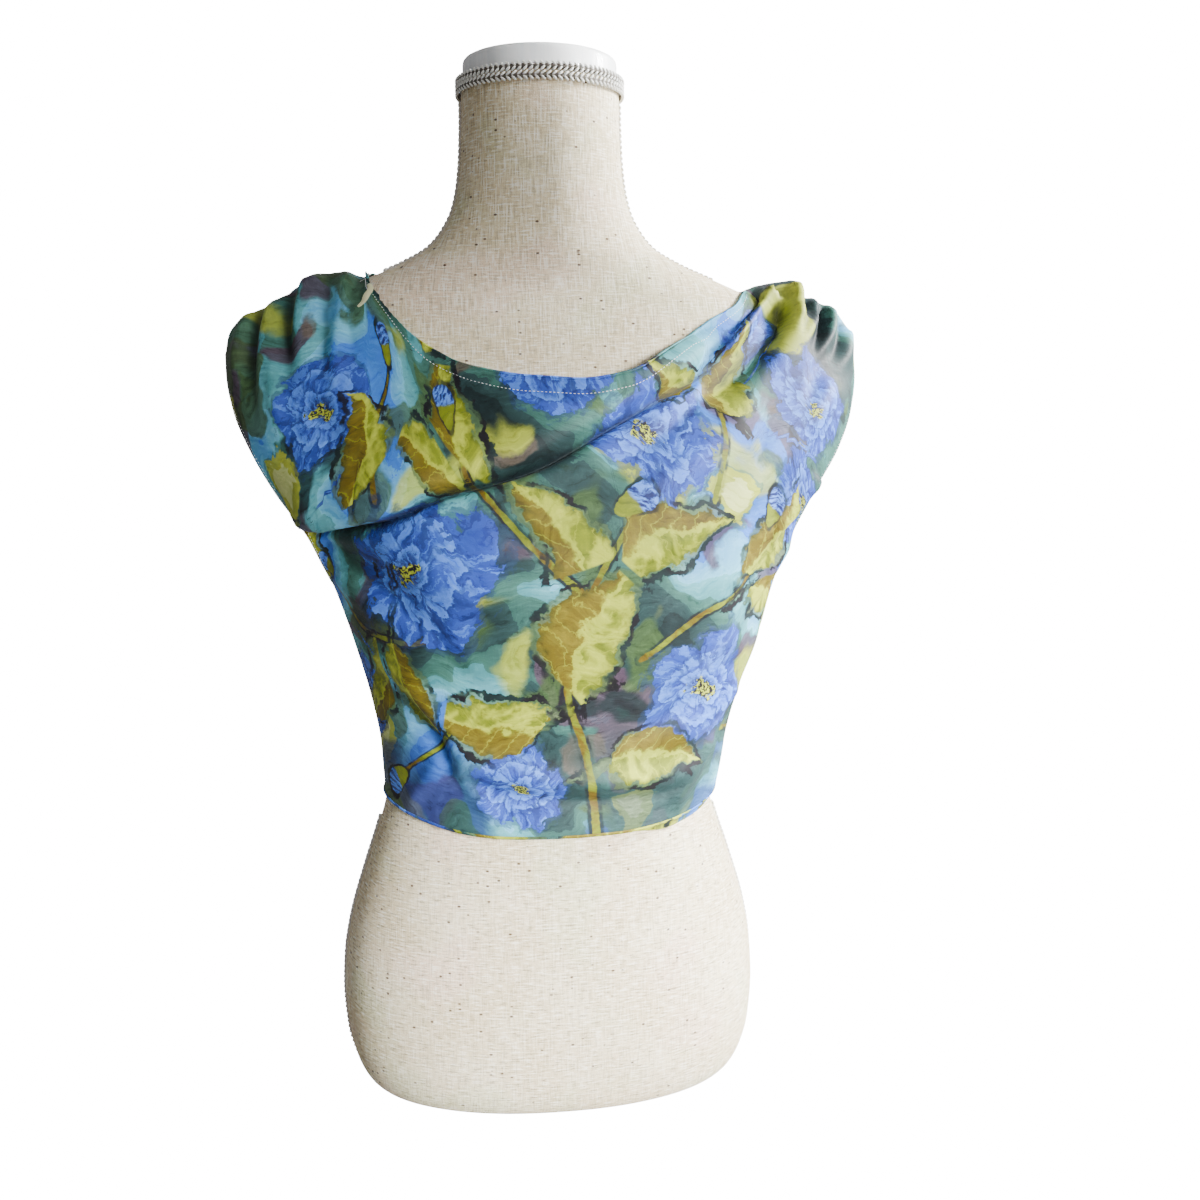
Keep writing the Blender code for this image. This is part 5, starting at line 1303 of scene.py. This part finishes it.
hems["front"].append(buildTab())
threadEnd = [onFront(153.5, 46.0, 0.0012), onFront(154.5, 50.0, 0.0018), onFront(155.5, 54.0, 0.0016),
             onFront(158.0, 57.5, 0.0010)]
addPiece("looseThread", cordMesh("looseThread", [[Vector(spot) for spot in threadEnd]], 0.00028, False),
         [threadWhite])
print("stitches sewn")


# Floor, light and the end.

floorShade, w, shader = newMaterial("paleFloor", 0.9)
place = w.add("TexCoord").outputs["Object"]
w.feed(shader["Base Color"], w.mix(w.noise(place, 3.0), paint(116, 116, 116), paint(124, 124, 124)))
seen = w.add("LightPath").outputs["Is Camera Ray"]
w.feed(shader["Emission Color"], w.mix(seen, (0.0, 0.0, 0.0, 1.0), (1.0, 1.0, 1.0, 1.0)))
w.feed(shader["Emission Strength"], 17.0)


def addFloor():
    shape = bmesh.new()
    bmesh.ops.create_circle(shape, cap_ends=True, segments=64, radius=14.0)
    mesh = bpy.data.meshes.new("floor")
    shape.to_mesh(mesh)
    shape.free()
    mesh.materials.append(floorShade)
    floor = bpy.data.objects.new("floor", mesh)
    bpy.context.scene.collection.objects.link(floor)


addFloor()

# place, aim, size, power, spread in degrees
lightSettings = {
    "key": ((2.10, 0.15, 1.50), (0.0, 0.0, 0.45), 0.5, 330.0, 180),
    "low": ((0.75, -1.40, 0.50), (0.02, 0.0, 0.06), 0.8, 8.5, 36),
    "front": ((0.80, -1.75, 1.50), (0.0, 0.0, 0.45), 1.0, 5.0, 180),
    "back": ((0.3, 1.9, 1.5), (0.0, 0.0, 0.45), 1.4, 4.0, 180),
    "cap": ((1.15, -0.95, 1.10), (0.0, 0.0, 0.86), 0.15, 0.15, 8),
    "world": 0.30,
    "backdrop": 17.0,    # what the camera sees of the world
}


def addLights(settings):
    for name in ("key", "low", "front", "back", "cap"):
        place, aim, size, power, spread = settings[name]
        light = bpy.data.lights.new(name, "AREA")
        light.shape = "DISK"
        light.size = size
        light.energy = power
        light.spread = math.radians(spread)
        lamp = bpy.data.objects.new(name, light)
        heading = (Vector(aim) - Vector(place)).to_track_quat("-Z", "Y")
        lamp.matrix_world = Matrix.Translation(place) @ heading.to_matrix().to_4x4()
        bpy.context.scene.collection.objects.link(lamp)
    world = bpy.data.worlds.new("studio")
    world.use_nodes = True
    wires = Wires(world.node_tree)
    seen = wires.add("LightPath").outputs["Is Camera Ray"]
    background = world.node_tree.nodes["Background"].inputs
    background[0].default_value = (1.0, 1.0, 1.0, 1.0)
    wires.feed(background[1], wires.ease(seen, 0.0, 1.0, settings["world"], settings["backdrop"]))
    bpy.context.scene.world = world


addLights(lightSettings)
print("lights set")
